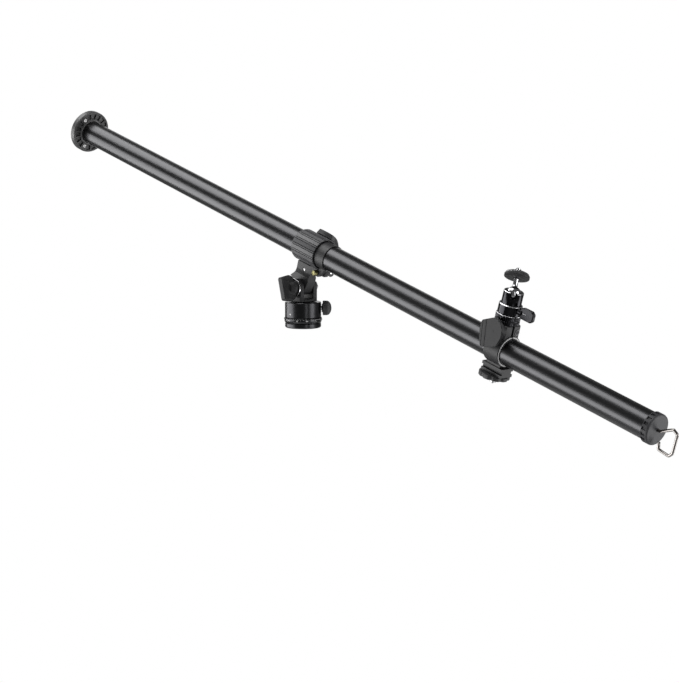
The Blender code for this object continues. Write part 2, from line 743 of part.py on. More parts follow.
def arm_sleeve():
    """The tube round the arm, threaded under the collar and slit between the ears."""
    start = COLLAR_LEFT + COLLAR_FACE_T + GAP + COLLET_LENGTH + GAP
    step = COLLAR_RIGHT - COLLAR_RIM - 2 * GAP
    profile = [
        (0, start),
        (SLEEVE_THREAD_R, start),
        (SLEEVE_THREAD_R, step),
        (SLEEVE_R, step),
        (SLEEVE_R, SLEEVE_END),
        (0, SLEEVE_END),
    ]
    sleeve = turned("sleeve", profile, 36, (1, 0, 0), (0, 0, ARM_HEIGHT))
    low = (COLLAR_RIGHT - WALL_EDGE, SLIT_NEAR, ARM_HEIGHT - 2 * SLEEVE_R)
    high = (SLEEVE_END + WALL_EDGE, SLIT_NEAR + SLIT_W, ARM_HEIGHT - TUBE_R / 2)
    return cut(sleeve, block("slit", low, high))


def twist_collar():
    """The ribbed collar round the sleeve, closed at its left end and open at its right."""
    bore = SLEEVE_THREAD_R + GAP
    pocket = COLLET_R + GAP
    inside = COLLAR_LEFT + COLLAR_FACE_T
    collet_end = inside + 2 * GAP + COLLET_LENGTH
    profile = [
        (TUBE_R + GAP, COLLAR_LEFT),
        (COLLAR_R - COLLAR_EDGE_IN, COLLAR_LEFT),
        (COLLAR_R - COLLAR_SHOULDER_IN, COLLAR_LEFT + COLLAR_EDGE_UP),
        (COLLAR_R, COLLAR_LEFT + COLLAR_SHOULDER_UP),
        (COLLAR_R, COLLAR_RIGHT - WALL_EDGE),
        (COLLAR_R - WALL_EDGE, COLLAR_RIGHT),
        (pocket + GAP / 3, COLLAR_RIGHT),
        (pocket, COLLAR_RIGHT - COLLAR_RIM),
        (bore, COLLAR_RIGHT - COLLAR_RIM),
        (bore, collet_end),
        (pocket, collet_end),
        (pocket, inside),
        (TUBE_R + GAP, inside),
    ]
    flutes = (COLLAR_FLUTES, COLLAR_FLUTE_DEPTH, COLLAR_R - COLLAR_FLUTE_FROM)
    return turned("twist_collar", profile, 48, (1, 0, 0), flutes=flutes)


def collet():
    """The split ring that the collar presses on the arm."""
    start = COLLAR_LEFT + COLLAR_FACE_T + GAP
    end = start + COLLET_LENGTH
    profile = [(SLEEVE_BORE, start), (COLLET_R, start), (COLLET_R - COLLET_TAPER, end), (SLEEVE_BORE, end)]
    ring = turned("collet", profile, 32, (1, 0, 0))
    low = (start - WALL_EDGE, -COLLET_SLIT / 2, TUBE_R / 2)
    return cut(ring, block("slit", low, (end + WALL_EDGE, COLLET_SLIT / 2, 2 * COLLET_R)))


def clamp_hardware():
    """The bolt with its eye, the brass nut, the saddle washer and the lever's pin, from the bolt's axis."""
    pin_y = LEVER_PIN_OUT
    near = -NECK_T / 2 - GAP
    eye_low = Vector((-LEVER_EYE_T / 2, pin_y, 0))
    eye_high = Vector((LEVER_EYE_T / 2, pin_y, 0))
    bolt = rod("clamp_bolt", CLAMP_BOLT_R, (0, near - CLAMP_NUT_H + CLAMP_NUT_HOLLOW, 0), (0, pin_y, 0), 16)
    join(bolt, rod("eye", LEVER_EYE_R, eye_low, eye_high, 16))
    bolt = cut(bolt, rod("bore", LEVER_PIN_R + GAP, 2 * eye_low - eye_high, 2 * eye_high - eye_low, 12))
    profile = [
        (CLAMP_BOLT_R + GAP, 0),
        (CLAMP_NUT_R + GAP, 0),
        (CLAMP_NUT_R + GAP, CLAMP_NUT_HOLLOW),
        (CLAMP_NUT_R, CLAMP_NUT_STEP),
        (CLAMP_NUT_R, CLAMP_NUT_H - WALL_EDGE),
        (CLAMP_NUT_R - WALL_EDGE, CLAMP_NUT_H),
        (0, CLAMP_NUT_H),
        (0, CLAMP_NUT_H - CLAMP_NUT_SKIN),
        (CLAMP_BOLT_R + GAP, CLAMP_NUT_H - CLAMP_NUT_SKIN),
    ]
    nut = turned("clamp_nut", profile, 16, (0, -1, 0), (0, near, 0))
    low = EAR_FAR_OUT + GAP
    ring = [(CLAMP_BOLT_R + GAP, 0), (LEVER_WASHER_R, 0), (LEVER_WASHER_R, LEVER_WASHER_T)]
    ring.append((CLAMP_BOLT_R + GAP, LEVER_WASHER_T))
    washer = turned("lever_washer", ring, 16, (0, 1, 0), (0, low, 0))
    half = LEVER_HUB_HALF - GAP
    pin = rod("lever_pin", LEVER_PIN_R, (-half, pin_y, 0), (half, pin_y, 0), 16)
    return bolt, nut, washer, pin


def clamp_lever():
    """The cam lever, from its pin: a forked hub and a plate that curves over the collar."""
    half = LEVER_HUB_HALF
    hub = rod("clamp_lever", LEVER_HUB_R, (-half, 0, 0), (half, 0, 0), 24)
    root_high = CLAMP_DROP - LEVER_IN_R * math.sin(math.radians(-LEVER_ROOT)) + LEVER_WEB_OVER
    wide = half - LEVER_EDGE
    join(hub, block("web", (-wide, -LEVER_WEB_T, 0), (wide, LEVER_HUB_R - LEVER_WEB_T, root_high)))
    join(hub, lever_plate())
    space = LEVER_EYE_T / 2 + GAP
    low = Vector((-space, 0, 0))
    space_rod = rod("space", LEVER_HUB_R + 2 * GAP, low, -low, 24)
    return cut(hub, space_rod, rod("bore", LEVER_PIN_R + GAP, (-2 * half, 0, 0), (2 * half, 0, 0), 16))


def lever_plate():
    """The curved plate of the lever, concentric with the arm and rounded at its top."""
    steps = 12
    mesh = bmesh.new()
    rings = []
    centre_y = -LEVER_PIN_OUT
    centre_z = CLAMP_DROP
    for step in range(steps + 1):
        angle = LEVER_ROOT + (LEVER_TOP - LEVER_ROOT) * step / steps
        near_top = max(0.0, (angle - (LEVER_TOP - LEVER_CORNER)) / LEVER_CORNER)
        inset = (LEVER_RIGHT - LEVER_LEFT) * LEVER_NARROWING * (1 - math.sqrt(1 - 0.96 * near_top**2))
        near_root = max(0.0, 1 - (angle - LEVER_ROOT) / LEVER_ROOT_SPAN)
        left = LEVER_LEFT + inset
        left += (CLAMP_ALONG - LEVER_HUB_HALF + 2 * LEVER_EDGE - LEVER_LEFT) * near_root**1.5
        right = LEVER_RIGHT - inset * 0.9
        direction = (math.cos(math.radians(angle)), math.sin(math.radians(angle)))
        ring = []
        for radius, along in (
            (LEVER_IN_R, left),
            (LEVER_IN_R, right),
            (LEVER_IN_R + LEVER_T, right - LEVER_BEVEL),
            (LEVER_IN_R + LEVER_T, left + LEVER_BEVEL),
        ):
            y = centre_y + radius * direction[0]
            z = centre_z + radius * direction[1]
            ring.append(mesh.verts.new((along - CLAMP_ALONG, y, z)))
        rings.append(ring)
    for lower, upper in zip(rings, rings[1:]):
        for corner_step in range(4):
            after = (corner_step + 1) % 4
            mesh.faces.new((lower[corner_step], lower[after], upper[after], upper[corner_step]))
    mesh.faces.new(rings[0])
    mesh.faces.new(rings[-1])
    return solid("lever_plate", mesh)


def arm_tube():
    start = FLANGE_FACE - FLANGE_SEAT
    end = CAP_FACE - CAP_LENGTH - GAP
    profile = [(TUBE_BORE, start), (TUBE_R, start), (TUBE_R, end), (TUBE_BORE, end)]
    return turned("arm_tube", profile, 40, (1, 0, 0))


def flange_plate():
    """The disc at the arm's left end, with pockets on its tube side and a seat for the tube."""
    back = FLANGE_FACE - FLANGE_T
    seat = FLANGE_FACE - FLANGE_SEAT - GAP
    stud = FLANGE_STUD_R + GAP
    profile = [
        (stud, back),
        (FLANGE_R - WALL_EDGE, back),
        (FLANGE_R, back + WALL_EDGE),
        (FLANGE_R, FLANGE_FACE - WALL_EDGE),
        (FLANGE_R - WALL_EDGE, FLANGE_FACE),
        (FLANGE_RING_R, FLANGE_FACE),
        (FLANGE_RING_R, FLANGE_FACE + FLANGE_RING_H),
        (TUBE_R + GAP, FLANGE_FACE + FLANGE_RING_H),
        (TUBE_R + GAP, seat),
        (stud, seat),
    ]
    plate = turned("flange_plate", profile, 36, (1, 0, 0))
    pitch = 360 / FLANGE_POCKETS
    half = FLANGE_POCKET_SHARE * pitch
    floor = FLANGE_FACE - FLANGE_POCKET_DEPTH
    inner = FLANGE_RING_R + FLANGE_POCKET_IN
    outer = FLANGE_R - FLANGE_RIM
    cutters = []
    for number in range(FLANGE_POCKETS):
        middle = FLANGE_SCREWS[-1] + number * pitch
        if min(abs((middle - screw + 180) % 360 - 180) for screw in FLANGE_SCREWS) < pitch / 2:
            continue
        outline = arc((0, 0), inner, middle - half, middle + half, 1)
        outline += arc((0, 0), outer, middle + half, middle - half, 1)
        cutters.append(prism("pocket", outline, floor, FLANGE_FACE + FLANGE_RING_H, "X"))
    for angle in FLANGE_SCREWS:
        place = flange_screw_place(angle)
        reach = Vector((2 * FLANGE_T, 0, 0))
        cutters.append(rod("hole", FLANGE_SCREW_R + GAP, place - reach, place + reach, 12))
    return cut(plate, *cutters)


def flange_screw_place(angle):
    """A point on the flange's face, its angle counted from +Y towards +Z."""
    turn = math.radians(angle)
    return Vector((FLANGE_FACE, FLANGE_SCREW_PLACE * math.cos(turn), FLANGE_SCREW_PLACE * math.sin(turn)))


def flange_screws():
    """Three socket screws through the flange."""
    pieces = []
    for number, angle in enumerate(FLANGE_SCREWS, 1):
        face = flange_screw_place(angle)
        start = face - Vector((FLANGE_T - GAP, 0, 0))
        end = face + Vector((FLANGE_SCREW_PROUD, 0, 0))
        screw = rod(f"flange_screw_{number}", FLANGE_SCREW_R, start, end, 16)
        outline = hexagon(SOCKET_AF, (face.y, face.z))
        socket = prism("socket", outline, end.x - SOCKET_DEPTH, end.x + SOCKET_DEPTH, "X")
        pieces.append(cut(screw, socket))
    return pieces


def flange_inside():
    """The plug in the tube, the stud through the flange and the pad on its outer face."""
    seat = FLANGE_FACE - FLANGE_SEAT
    stud = FLANGE_STUD_R
    plug_r = TUBE_BORE - GAP
    end = seat + PLUG_LENGTH
    profile = [(stud + GAP, seat), (plug_r, seat), (plug_r, end), (stud + GAP, end)]
    plug = turned("tube_plug", profile, 20, (1, 0, 0))
    back = FLANGE_FACE - FLANGE_T
    tip = back - FLANGE_STUD_OUT
    outline = [(0, tip), (stud - STUD_CHAMFER, tip), (stud, tip + STUD_CHAMFER), (stud, end - GAP)]
    outline += [(0, end - GAP)]
    rod_piece = turned("flange_stud", outline, 24, (1, 0, 0))
    low = back - GAP - FLANGE_PAD_T
    high = back - GAP
    outer = FLANGE_R - FLANGE_RIM
    ring = [(FLANGE_PAD_IN, low), (outer, low), (outer, high), (FLANGE_PAD_IN, high)]
    pad = turned("flange_pad", ring, 24, (1, 0, 0))
    return plug, rod_piece, pad


def end_cap():
    """The cap with its spigot in the tube, notched round its rim, from the cap's outer face."""
    back = -CAP_LENGTH
    inner_end = back - CAP_SPIGOT
    bore = HOOK_WIRE_R + GAP
    spigot = TUBE_BORE - GAP
    profile = [
        (bore, inner_end),
        (spigot - WALL_EDGE, inner_end),
        (spigot, inner_end + WALL_EDGE),
        (spigot, back),
        (CAP_R, back),
        (CAP_R, -CAP_CHAMFER),
        (CAP_R - CAP_CHAMFER, 0),
        (bore, 0),
    ]
    cap = turned("end_cap", profile, 36, (1, 0, 0))
    notches = []
    for number in range(CAP_NOTCHES):
        notch = block(
            "notch",
            (back * CAP_NOTCH_SHARE, -CAP_NOTCH_W / 2, CAP_R - CAP_NOTCH_DEPTH),
            (CAP_CHAMFER, CAP_NOTCH_W / 2, CAP_R + CAP_CHAMFER),
        )
        notch.data.transform(Matrix.Rotation(math.tau * (number + 0.5) / CAP_NOTCHES, 4, "X"))
        notches.append(notch)
    return cut(cap, *notches)


def rounded_path(points, radius, steps):
    """A path of straight runs with round bends."""
    path = [Vector(points[0])]
    for before, here, after in zip(points, points[1:], points[2:]):
        corner = Vector(here)
        back = (Vector(before) - corner).normalized()
        ahead = (Vector(after) - corner).normalized()
        half = back.angle(ahead) / 2
        reach = radius / math.tan(half)
        centre = corner + (back + ahead).normalized() * (radius / math.sin(half))
        start = corner + back * reach - centre
        end = corner + ahead * reach - centre
        sweep = start.angle(end)
        for step in range(steps + 1):
            share = step / steps
            first = math.sin((1 - share) * sweep) / math.sin(sweep)
            second = math.sin(share * sweep) / math.sin(sweep)
            path.append(centre + start * first + end * second)
    path.append(Vector(points[-1]))
    return path


def wire(name, path, radius, sides):
    """A round wire along a path, closed at both ends."""
    mesh = bmesh.new()
    side = None
    rings = []
    for number, point in enumerate(path):
        before = path[max(number - 1, 0)]
        after = path[min(number + 1, len(path) - 1)]
        ahead = (after - before).normalized()
        if side is None:
            side = ahead.orthogonal().normalized()
        side = (side - ahead * side.dot(ahead)).normalized()
        across = ahead.cross(side)
        ring = []
        for step in range(sides):
            angle = math.tau * step / sides
            ring.append(mesh.verts.new(point + radius * (math.cos(angle) * side + math.sin(angle) * across)))
        rings.append(ring)
    for lower, upper in zip(rings, rings[1:]):
        for step in range(sides):
            after = (step + 1) % sides
            mesh.faces.new((lower[step], lower[after], upper[after], upper[step]))
    mesh.faces.new(rings[0])
    mesh.faces.new(rings[-1])
    return solid(name, mesh)


def hook_parts():
    """The hook with its headed tail, the washer on the tail and the spring, from the cap's outer face."""
    flat = [(-HOOK_TAIL, 0), *HOOK_ROUTE]
    path = rounded_path([(s, 0, h) for s, h in flat], HOOK_BEND_R, 3)
    hook = wire("hook", path, HOOK_WIRE_R, 8)
    head_end = -HOOK_TAIL + HOOK_HEAD_H
    join(hook, rod("head", HOOK_HEAD_R, (-HOOK_TAIL - HOOK_HEAD_OVER, 0, 0), (head_end, 0, 0), 16))
    start = head_end + GAP
    bore = HOOK_WIRE_R + GAP
    ring = [(bore, 0), (HOOK_WASHER_R, 0), (HOOK_WASHER_R, HOOK_WASHER_T), (bore, HOOK_WASHER_T)]
    washer = turned("hook_washer", ring, 16, (1, 0, 0), (start, 0, 0))
    low = start + HOOK_WASHER_T + GAP + SPRING_WIRE_R
    high = -CAP_LENGTH - CAP_SPIGOT - GAP - SPRING_WIRE_R
    coil = []
    count = SPRING_TURNS * SPRING_STEPS
    for step in range(count + 1):
        angle = math.tau * step / SPRING_STEPS
        along = low + (high - low) * step / count
        coil.append(Vector((along, SPRING_R * math.cos(angle), SPRING_R * math.sin(angle))))
    print("hook_spring least gap", (coil[SPRING_STEPS] - coil[0]).length - 2 * SPRING_WIRE_R)
    spring = wire("hook_spring", coil, SPRING_WIRE_R, 5)
    return hook, washer, spring


def accessory_ring():
    """The clamp ring with its ears, the grooved foot, and the holes for bolt, nut and studs."""
    inner = LINER_IN + LINER_T + GAP
    half = RING_HALF
    ring = turned("accessory_ring", [(0, -half), (RING_R, -half), (RING_R, half), (0, half)], 40, (1, 0, 0))
    ear_low = TUBE_R - RING_EAR_LAP
    ears = [(RING_EAR_BACK, ear_low), (RING_EAR_FRONT, ear_low), (RING_EAR_FRONT, RING_EAR_TOP)]
    ears += [(RING_EAR_BACK, RING_EAR_TOP)]
    join(ring, soften(prism("ears", ears, -RING_EAR_OUT, RING_EAR_OUT, "Y"), RING_EAR_EDGE))
    wide = FOOT_HALF_WIDTH
    narrow = FOOT_GROOVE_HALF
    lip_low = FOOT_TOP - FOOT_LIP
    groove_low = lip_low - FOOT_GROOVE
    half_foot = [(wide, FOOT_TOP), (wide, lip_low), (narrow, lip_low), (narrow, groove_low)]
    half_foot += [(wide, groove_low), (wide, FOOT_BOTTOM)]
    outline = half_foot + [(-u, v) for u, v in reversed(half_foot)]
    foot = prism("foot", outline, -FOOT_HALF_LENGTH, FOOT_HALF_LENGTH, "X")
    stem = half - FOOT_STEM_IN
    stem_low = (-stem, -FOOT_STEM_HALF, FOOT_TOP - FOOT_LAP)
    join(foot, block("stem", stem_low, (stem, FOOT_STEM_HALF, FOOT_TOP + FOOT_STEM_TOP)))
    join(ring, foot)
    long = Vector((4 * half, 0, 0))
    slot = RING_SLOT / 2
    bolt = Vector((RING_BOLT_ALONG, 0, RING_BOLT_UP))
    wide_y = Vector((0, 2 * RING_EAR_OUT, 0))
    pocket = hexagon(RING_NUT_AF + 2 * GAP, (RING_BOLT_ALONG, RING_BOLT_UP))
    stud = QUARTER_INCH_R + GAP
    top = (HEAD_PLACE, 0, RING_EAR_TOP - BASE_STUD_DEPTH)
    low = (HEAD_PLACE, 0, FOOT_BOTTOM - WALL_EDGE)
    slot_low = (-2 * half, -slot, TUBE_R / 2)
    return cut(
        ring,
        rod("bore", inner, -long, long, 40),
        block("slot", slot_low, (2 * half, slot, 2 * RING_EAR_TOP)),
        rod("bolt_hole", RING_BOLT_R + GAP, bolt - wide_y, bolt + wide_y, 16),
        prism("nut_pocket", pocket, RING_EAR_OUT - RING_NUT_H - GAP, 2 * RING_EAR_OUT, "Y"),
        rod("top_hole", stud, top, (HEAD_PLACE, 0, 2 * RING_EAR_TOP), 20),
        rod("foot_hole", stud, low, (HEAD_PLACE, 0, FOOT_BOTTOM + PLATE_STUD_IN + GAP), 20),
    )


def ring_liner():
    """The thin slit liner between the ring and the tube, with a lip at each end."""
    outer = LINER_IN + LINER_T
    lip = RING_HALF + GAP
    end = lip + LINER_LIP_T
    profile = [(LINER_IN, -end), (LINER_LIP_R, -end), (LINER_LIP_R, -lip), (outer, -lip)]
    profile += [(outer, lip), (LINER_LIP_R, lip), (LINER_LIP_R, end), (LINER_IN, end)]
    liner = turned("ring_liner", profile, 28, (1, 0, 0))
    slit_low = (-2 * end, -LINER_SLIT / 2, TUBE_R / 2)
    return cut(liner, block("slit", slit_low, (2 * end, LINER_SLIT / 2, 2 * LINER_LIP_R)))


def ring_hardware():
    """The clamp's bolt, nut, studs and thumb disc, drawn in the ring's frame."""
    bolt_place = Vector((RING_BOLT_ALONG, 0, RING_BOLT_UP))
    near = Vector((0, -PADDLE_IN - PADDLE_T + PADDLE_SKIN, 0))
    far = Vector((0, RING_EAR_OUT - RING_BOLT_SUNK, 0))
    bolt = rod("ring_bolt", RING_BOLT_R, bolt_place + near, bolt_place + far, 16)
    nut_outline = hexagon(RING_NUT_AF, (RING_BOLT_ALONG, RING_BOLT_UP))
    nut = prism("ring_nut", nut_outline, RING_EAR_OUT - RING_NUT_H, RING_EAR_OUT - RING_NUT_SUNK, "Y")
    cut(nut, rod("bore", RING_BOLT_R + GAP, bolt_place, bolt_place + 2 * far, 16))
    tip = THUMB_BOTTOM - PLATE_STUD_OUT
    r = QUARTER_INCH_R
    profile = [(0, tip), (r - STUD_CHAMFER, tip), (r, tip + STUD_CHAMFER), (r, FOOT_BOTTOM + PLATE_STUD_IN)]
    profile += [(0, FOOT_BOTTOM + PLATE_STUD_IN)]
    plate_stud = turned("plate_stud", profile, 20, place=(HEAD_PLACE, 0, 0))
    low = (HEAD_PLACE, 0, RING_EAR_TOP - BASE_STUD_DEPTH + GAP)
    base_stud = rod("base_stud", r, low, (HEAD_PLACE, 0, HEAD_Z + HEAD_STUD_IN), 20)
    return bolt, nut, plate_stud, base_stud


def paddle_lever():
    """The flat lever on the clamp's near side, from the bolt's axis."""
    lever = prism("paddle_lever", PADDLE_OUTLINE, -PADDLE_IN - PADDLE_T, -PADDLE_IN, "Y")
    soften(lever, PADDLE_EDGE)
    start = -RING_EAR_OUT - GAP
    step = -LOCK_RING_R - PADDLE_CLEAR
    end = -PADDLE_IN - PADDLE_T / 2
    profile = [(0, start), (PADDLE_NECK_R, start), (PADDLE_NECK_R, step)]
    profile += [(PADDLE_HUB_R, step), (PADDLE_HUB_R, end), (0, end)]
    join(lever, turned("hub", profile, 24, (0, 1, 0)))
    hole_end = (0, -PADDLE_IN - PADDLE_T + PADDLE_SKIN - GAP, 0)
    return cut(lever, rod("bore", RING_BOLT_R + GAP, (0, 0, 0), hole_end, 16))


def thumb_disc():
    """The lobed disc under the clamp, from its stud's axis."""
    bore = QUARTER_INCH_R + GAP
    edge = THUMB_EDGE
    profile = [
        (bore, THUMB_BOTTOM),
        (THUMB_R - edge, THUMB_BOTTOM),
        (THUMB_R, THUMB_BOTTOM + edge),
        (THUMB_R, THUMB_TOP - edge),
        (THUMB_R - edge, THUMB_TOP),
        (bore, THUMB_TOP),
    ]
    flutes = (THUMB_LOBES, THUMB_LOBE_DEPTH, THUMB_R - THUMB_LOBE_FROM)
    return turned("thumb_disc", profile, 45, flutes=flutes)


def ball_body():
    """The housing with its socket, the well for the pad, the wing screw's hole and the notch."""
    socket = BALL_R + GAP
    well = PAD_R + GAP
    floor = HEAD_Z + HEAD_STUD_IN + GAP + HEAD_FLOOR
    stud = QUARTER_INCH_R + GAP
    shoulder = HEAD_Z + HEAD_BASE_H
    mouth = math.degrees(math.asin((HEAD_TOP - BALL_UP) / socket))
    seat = -math.degrees(math.acos(well / socket))
    base_low = HEAD_Z + LOCK_RING_H + GAP
    profile = [
        (stud, HEAD_Z),
        (HEAD_NECK_R, HEAD_Z),
        (HEAD_NECK_R, base_low),
        (HEAD_BASE_R - HEAD_EDGE / 2, base_low),
        (HEAD_BASE_R, base_low + HEAD_EDGE / 2),
        (HEAD_BASE_R, shoulder - HEAD_EDGE),
        (HEAD_BASE_R - HEAD_EDGE, shoulder),
        (HEAD_TOP_R, shoulder),
        (HEAD_TOP_R, HEAD_TOP - WALL_EDGE),
        (HEAD_TOP_R - WALL_EDGE, HEAD_TOP),
    ]
    profile += arc((0, BALL_UP), socket, mouth, seat, 5)
    profile += [(well, floor), (0, floor), (0, floor - HEAD_FLOOR), (stud, floor - HEAD_FLOOR)]
    body = turned("ball_body", profile, 28)
    out = 2 * HEAD_BASE_R
    hole = rod("hole", WING_SCREW_R + GAP, (PAD_R / 2, 0, WING_UP), (out, 0, WING_UP), 16)
    half = STEM_R + NOTCH_CLEAR
    notch = block("notch", (0, -half, BALL_UP), (out, half, 2 * HEAD_TOP))
    join(notch, rod("notch_floor", half, (0, 0, BALL_UP), (out, 0, BALL_UP), 20))
    notch.data.transform(Matrix.Rotation(math.radians(BALL_LEAN_TURN + 180), 4, "Z"))
    return cut(body, notch, hole)


def foot_lock_ring():
    """The knurled ring round the housing's neck, turned down on the clamp to lock the head."""
    high = HEAD_Z + LOCK_RING_H
    edge = HEAD_EDGE / 2
    bore = HEAD_NECK_R + GAP
    profile = [
        (bore, HEAD_Z),
        (LOCK_RING_R - edge, HEAD_Z),
        (LOCK_RING_R, HEAD_Z + edge),
        (LOCK_RING_R, high - edge),
        (LOCK_RING_R - edge, high),
        (bore, high),
    ]
    return turned("foot_lock_ring", profile, 48, flutes=(*LOCK_RING_FLUTES, LOCK_RING_R - HEAD_EDGE))


def pressure_pad():
    """The cup under the ball."""
    cup = BALL_R + GAP
    low = WING_UP + WING_SCREW_R + GAP
    start = -math.degrees(math.acos((PAD_R - PAD_RIM) / cup))
    rim = BALL_UP + cup * math.sin(math.radians(start))
    profile = [(0, low), (PAD_R, low), (PAD_R, rim)]
    profile += arc((0, BALL_UP), cup, start, -90, 5)[:-1]
    profile += [(0, BALL_UP - cup)]
    return turned("pressure_pad", profile, 20)


def ball():
    """The ball, with the bore that its stem turns in."""
    bore = STEM_PIN_R + GAP
    flat = STEM_R + GAP
    top = math.degrees(math.acos(flat / BALL_R))
    height = BALL_R * math.sin(math.radians(top))
    profile = [(0, -BALL_R)] + arc((0, 0), BALL_R, -90, top, 9)[1:]
    profile += [(bore, height), (bore, BALL_BORE_FLOOR), (0, BALL_BORE_FLOOR)]
    return turned("ball", profile, 20)


def stem_height():
    """The height on the stem's axis where the stem leaves the ball."""
    return math.sqrt(BALL_R**2 - (STEM_R + GAP) ** 2) + GAP


def ball_stem():
    start = stem_height()
    end = start + STEM_LENGTH
    low = BALL_BORE_FLOOR + GAP
    profile = [(0, low), (STEM_PIN_R, low), (STEM_PIN_R, start), (STEM_R, start), (STEM_R, end)]
    profile += [(STEM_PIN_R, end), (STEM_PIN_R, end + STEM_PIN_OUT), (0, end + STEM_PIN_OUT)]
    return turned("ball_stem", profile, 16)


def top_seat():
    """The knurled disc on the stem, its rubber pad and the camera stud."""
    low = stem_height() + STEM_LENGTH + GAP
    high = low + TOP_DISC_T
    stud = QUARTER_INCH_R + GAP
    pin = STEM_PIN_R + GAP
    floor = low + TOP_DISC_FLOOR
    profile = [
        (pin, low),
        (TOP_DISC_R - TOP_DISC_CHAMFER[0], low),
        (TOP_DISC_R, low + TOP_DISC_CHAMFER[1]),
        (TOP_DISC_R, high - WALL_EDGE),
        (TOP_DISC_R - WALL_EDGE, high),
        (stud, high),
        (stud, floor),
        (pin, floor),
    ]
    count, depth, edge = TOP_DISC_FLUTES
    disc = turned("top_disc", profile, 36, flutes=(count, depth, TOP_DISC_R - edge))
    pad_low = high + GAP
    pad_r = TOP_DISC_R - DISC_PAD_EDGE
    ring = [(DISC_PAD_IN, pad_low), (pad_r, pad_low), (pad_r, pad_low + DISC_PAD_T)]
    ring.append((DISC_PAD_IN, pad_low + DISC_PAD_T))
    pad = turned("disc_pad", ring, 24)
    stud_low = floor + GAP
    tip = pad_low + DISC_PAD_T + TOP_STUD_OUT
    r = QUARTER_INCH_R
    outline = [(0, stud_low), (r, stud_low), (r, tip - STUD_CHAMFER), (r - STUD_CHAMFER, tip), (0, tip)]
    stud_piece = turned("top_stud", outline, 20)
    return disc, pad, stud_piece


def wing_parts():
    """The ball head's lock screw and its flat knob, drawn along the screw's axis."""
    knob_in = HEAD_BASE_R + 2 * GAP
    start = knob_in + WING_ROOT
    screw_end = start + WING_SCREW_IN
    screw = rod("wing_screw", WING_SCREW_R, (0, 0, WING_SCREW_START), (0, 0, screw_end), 16)
    tip_in, tip_down = WING_TIP
    low = start + WING_CORNER
    half = [(WING_HALF - WING_CORNER, start), (WING_HALF, low), (WING_HALF, WING_REACH - tip_down)]
    half += [(WING_HALF - tip_in, WING_REACH)]
    outline = half + [(-u, v) for u, v in reversed(half)]
    knob = prism("wing_knob", outline, -WING_T / 2, WING_T / 2, "Y")
    soften(knob, WING_EDGE)
    join(knob, rod("root", WING_ROOT_R, (0, 0, knob_in), (0, 0, low), 20))
    return screw, cut(knob, rod("bore", WING_SCREW_R + GAP, (0, 0, 0), (0, 0, screw_end + GAP), 16))


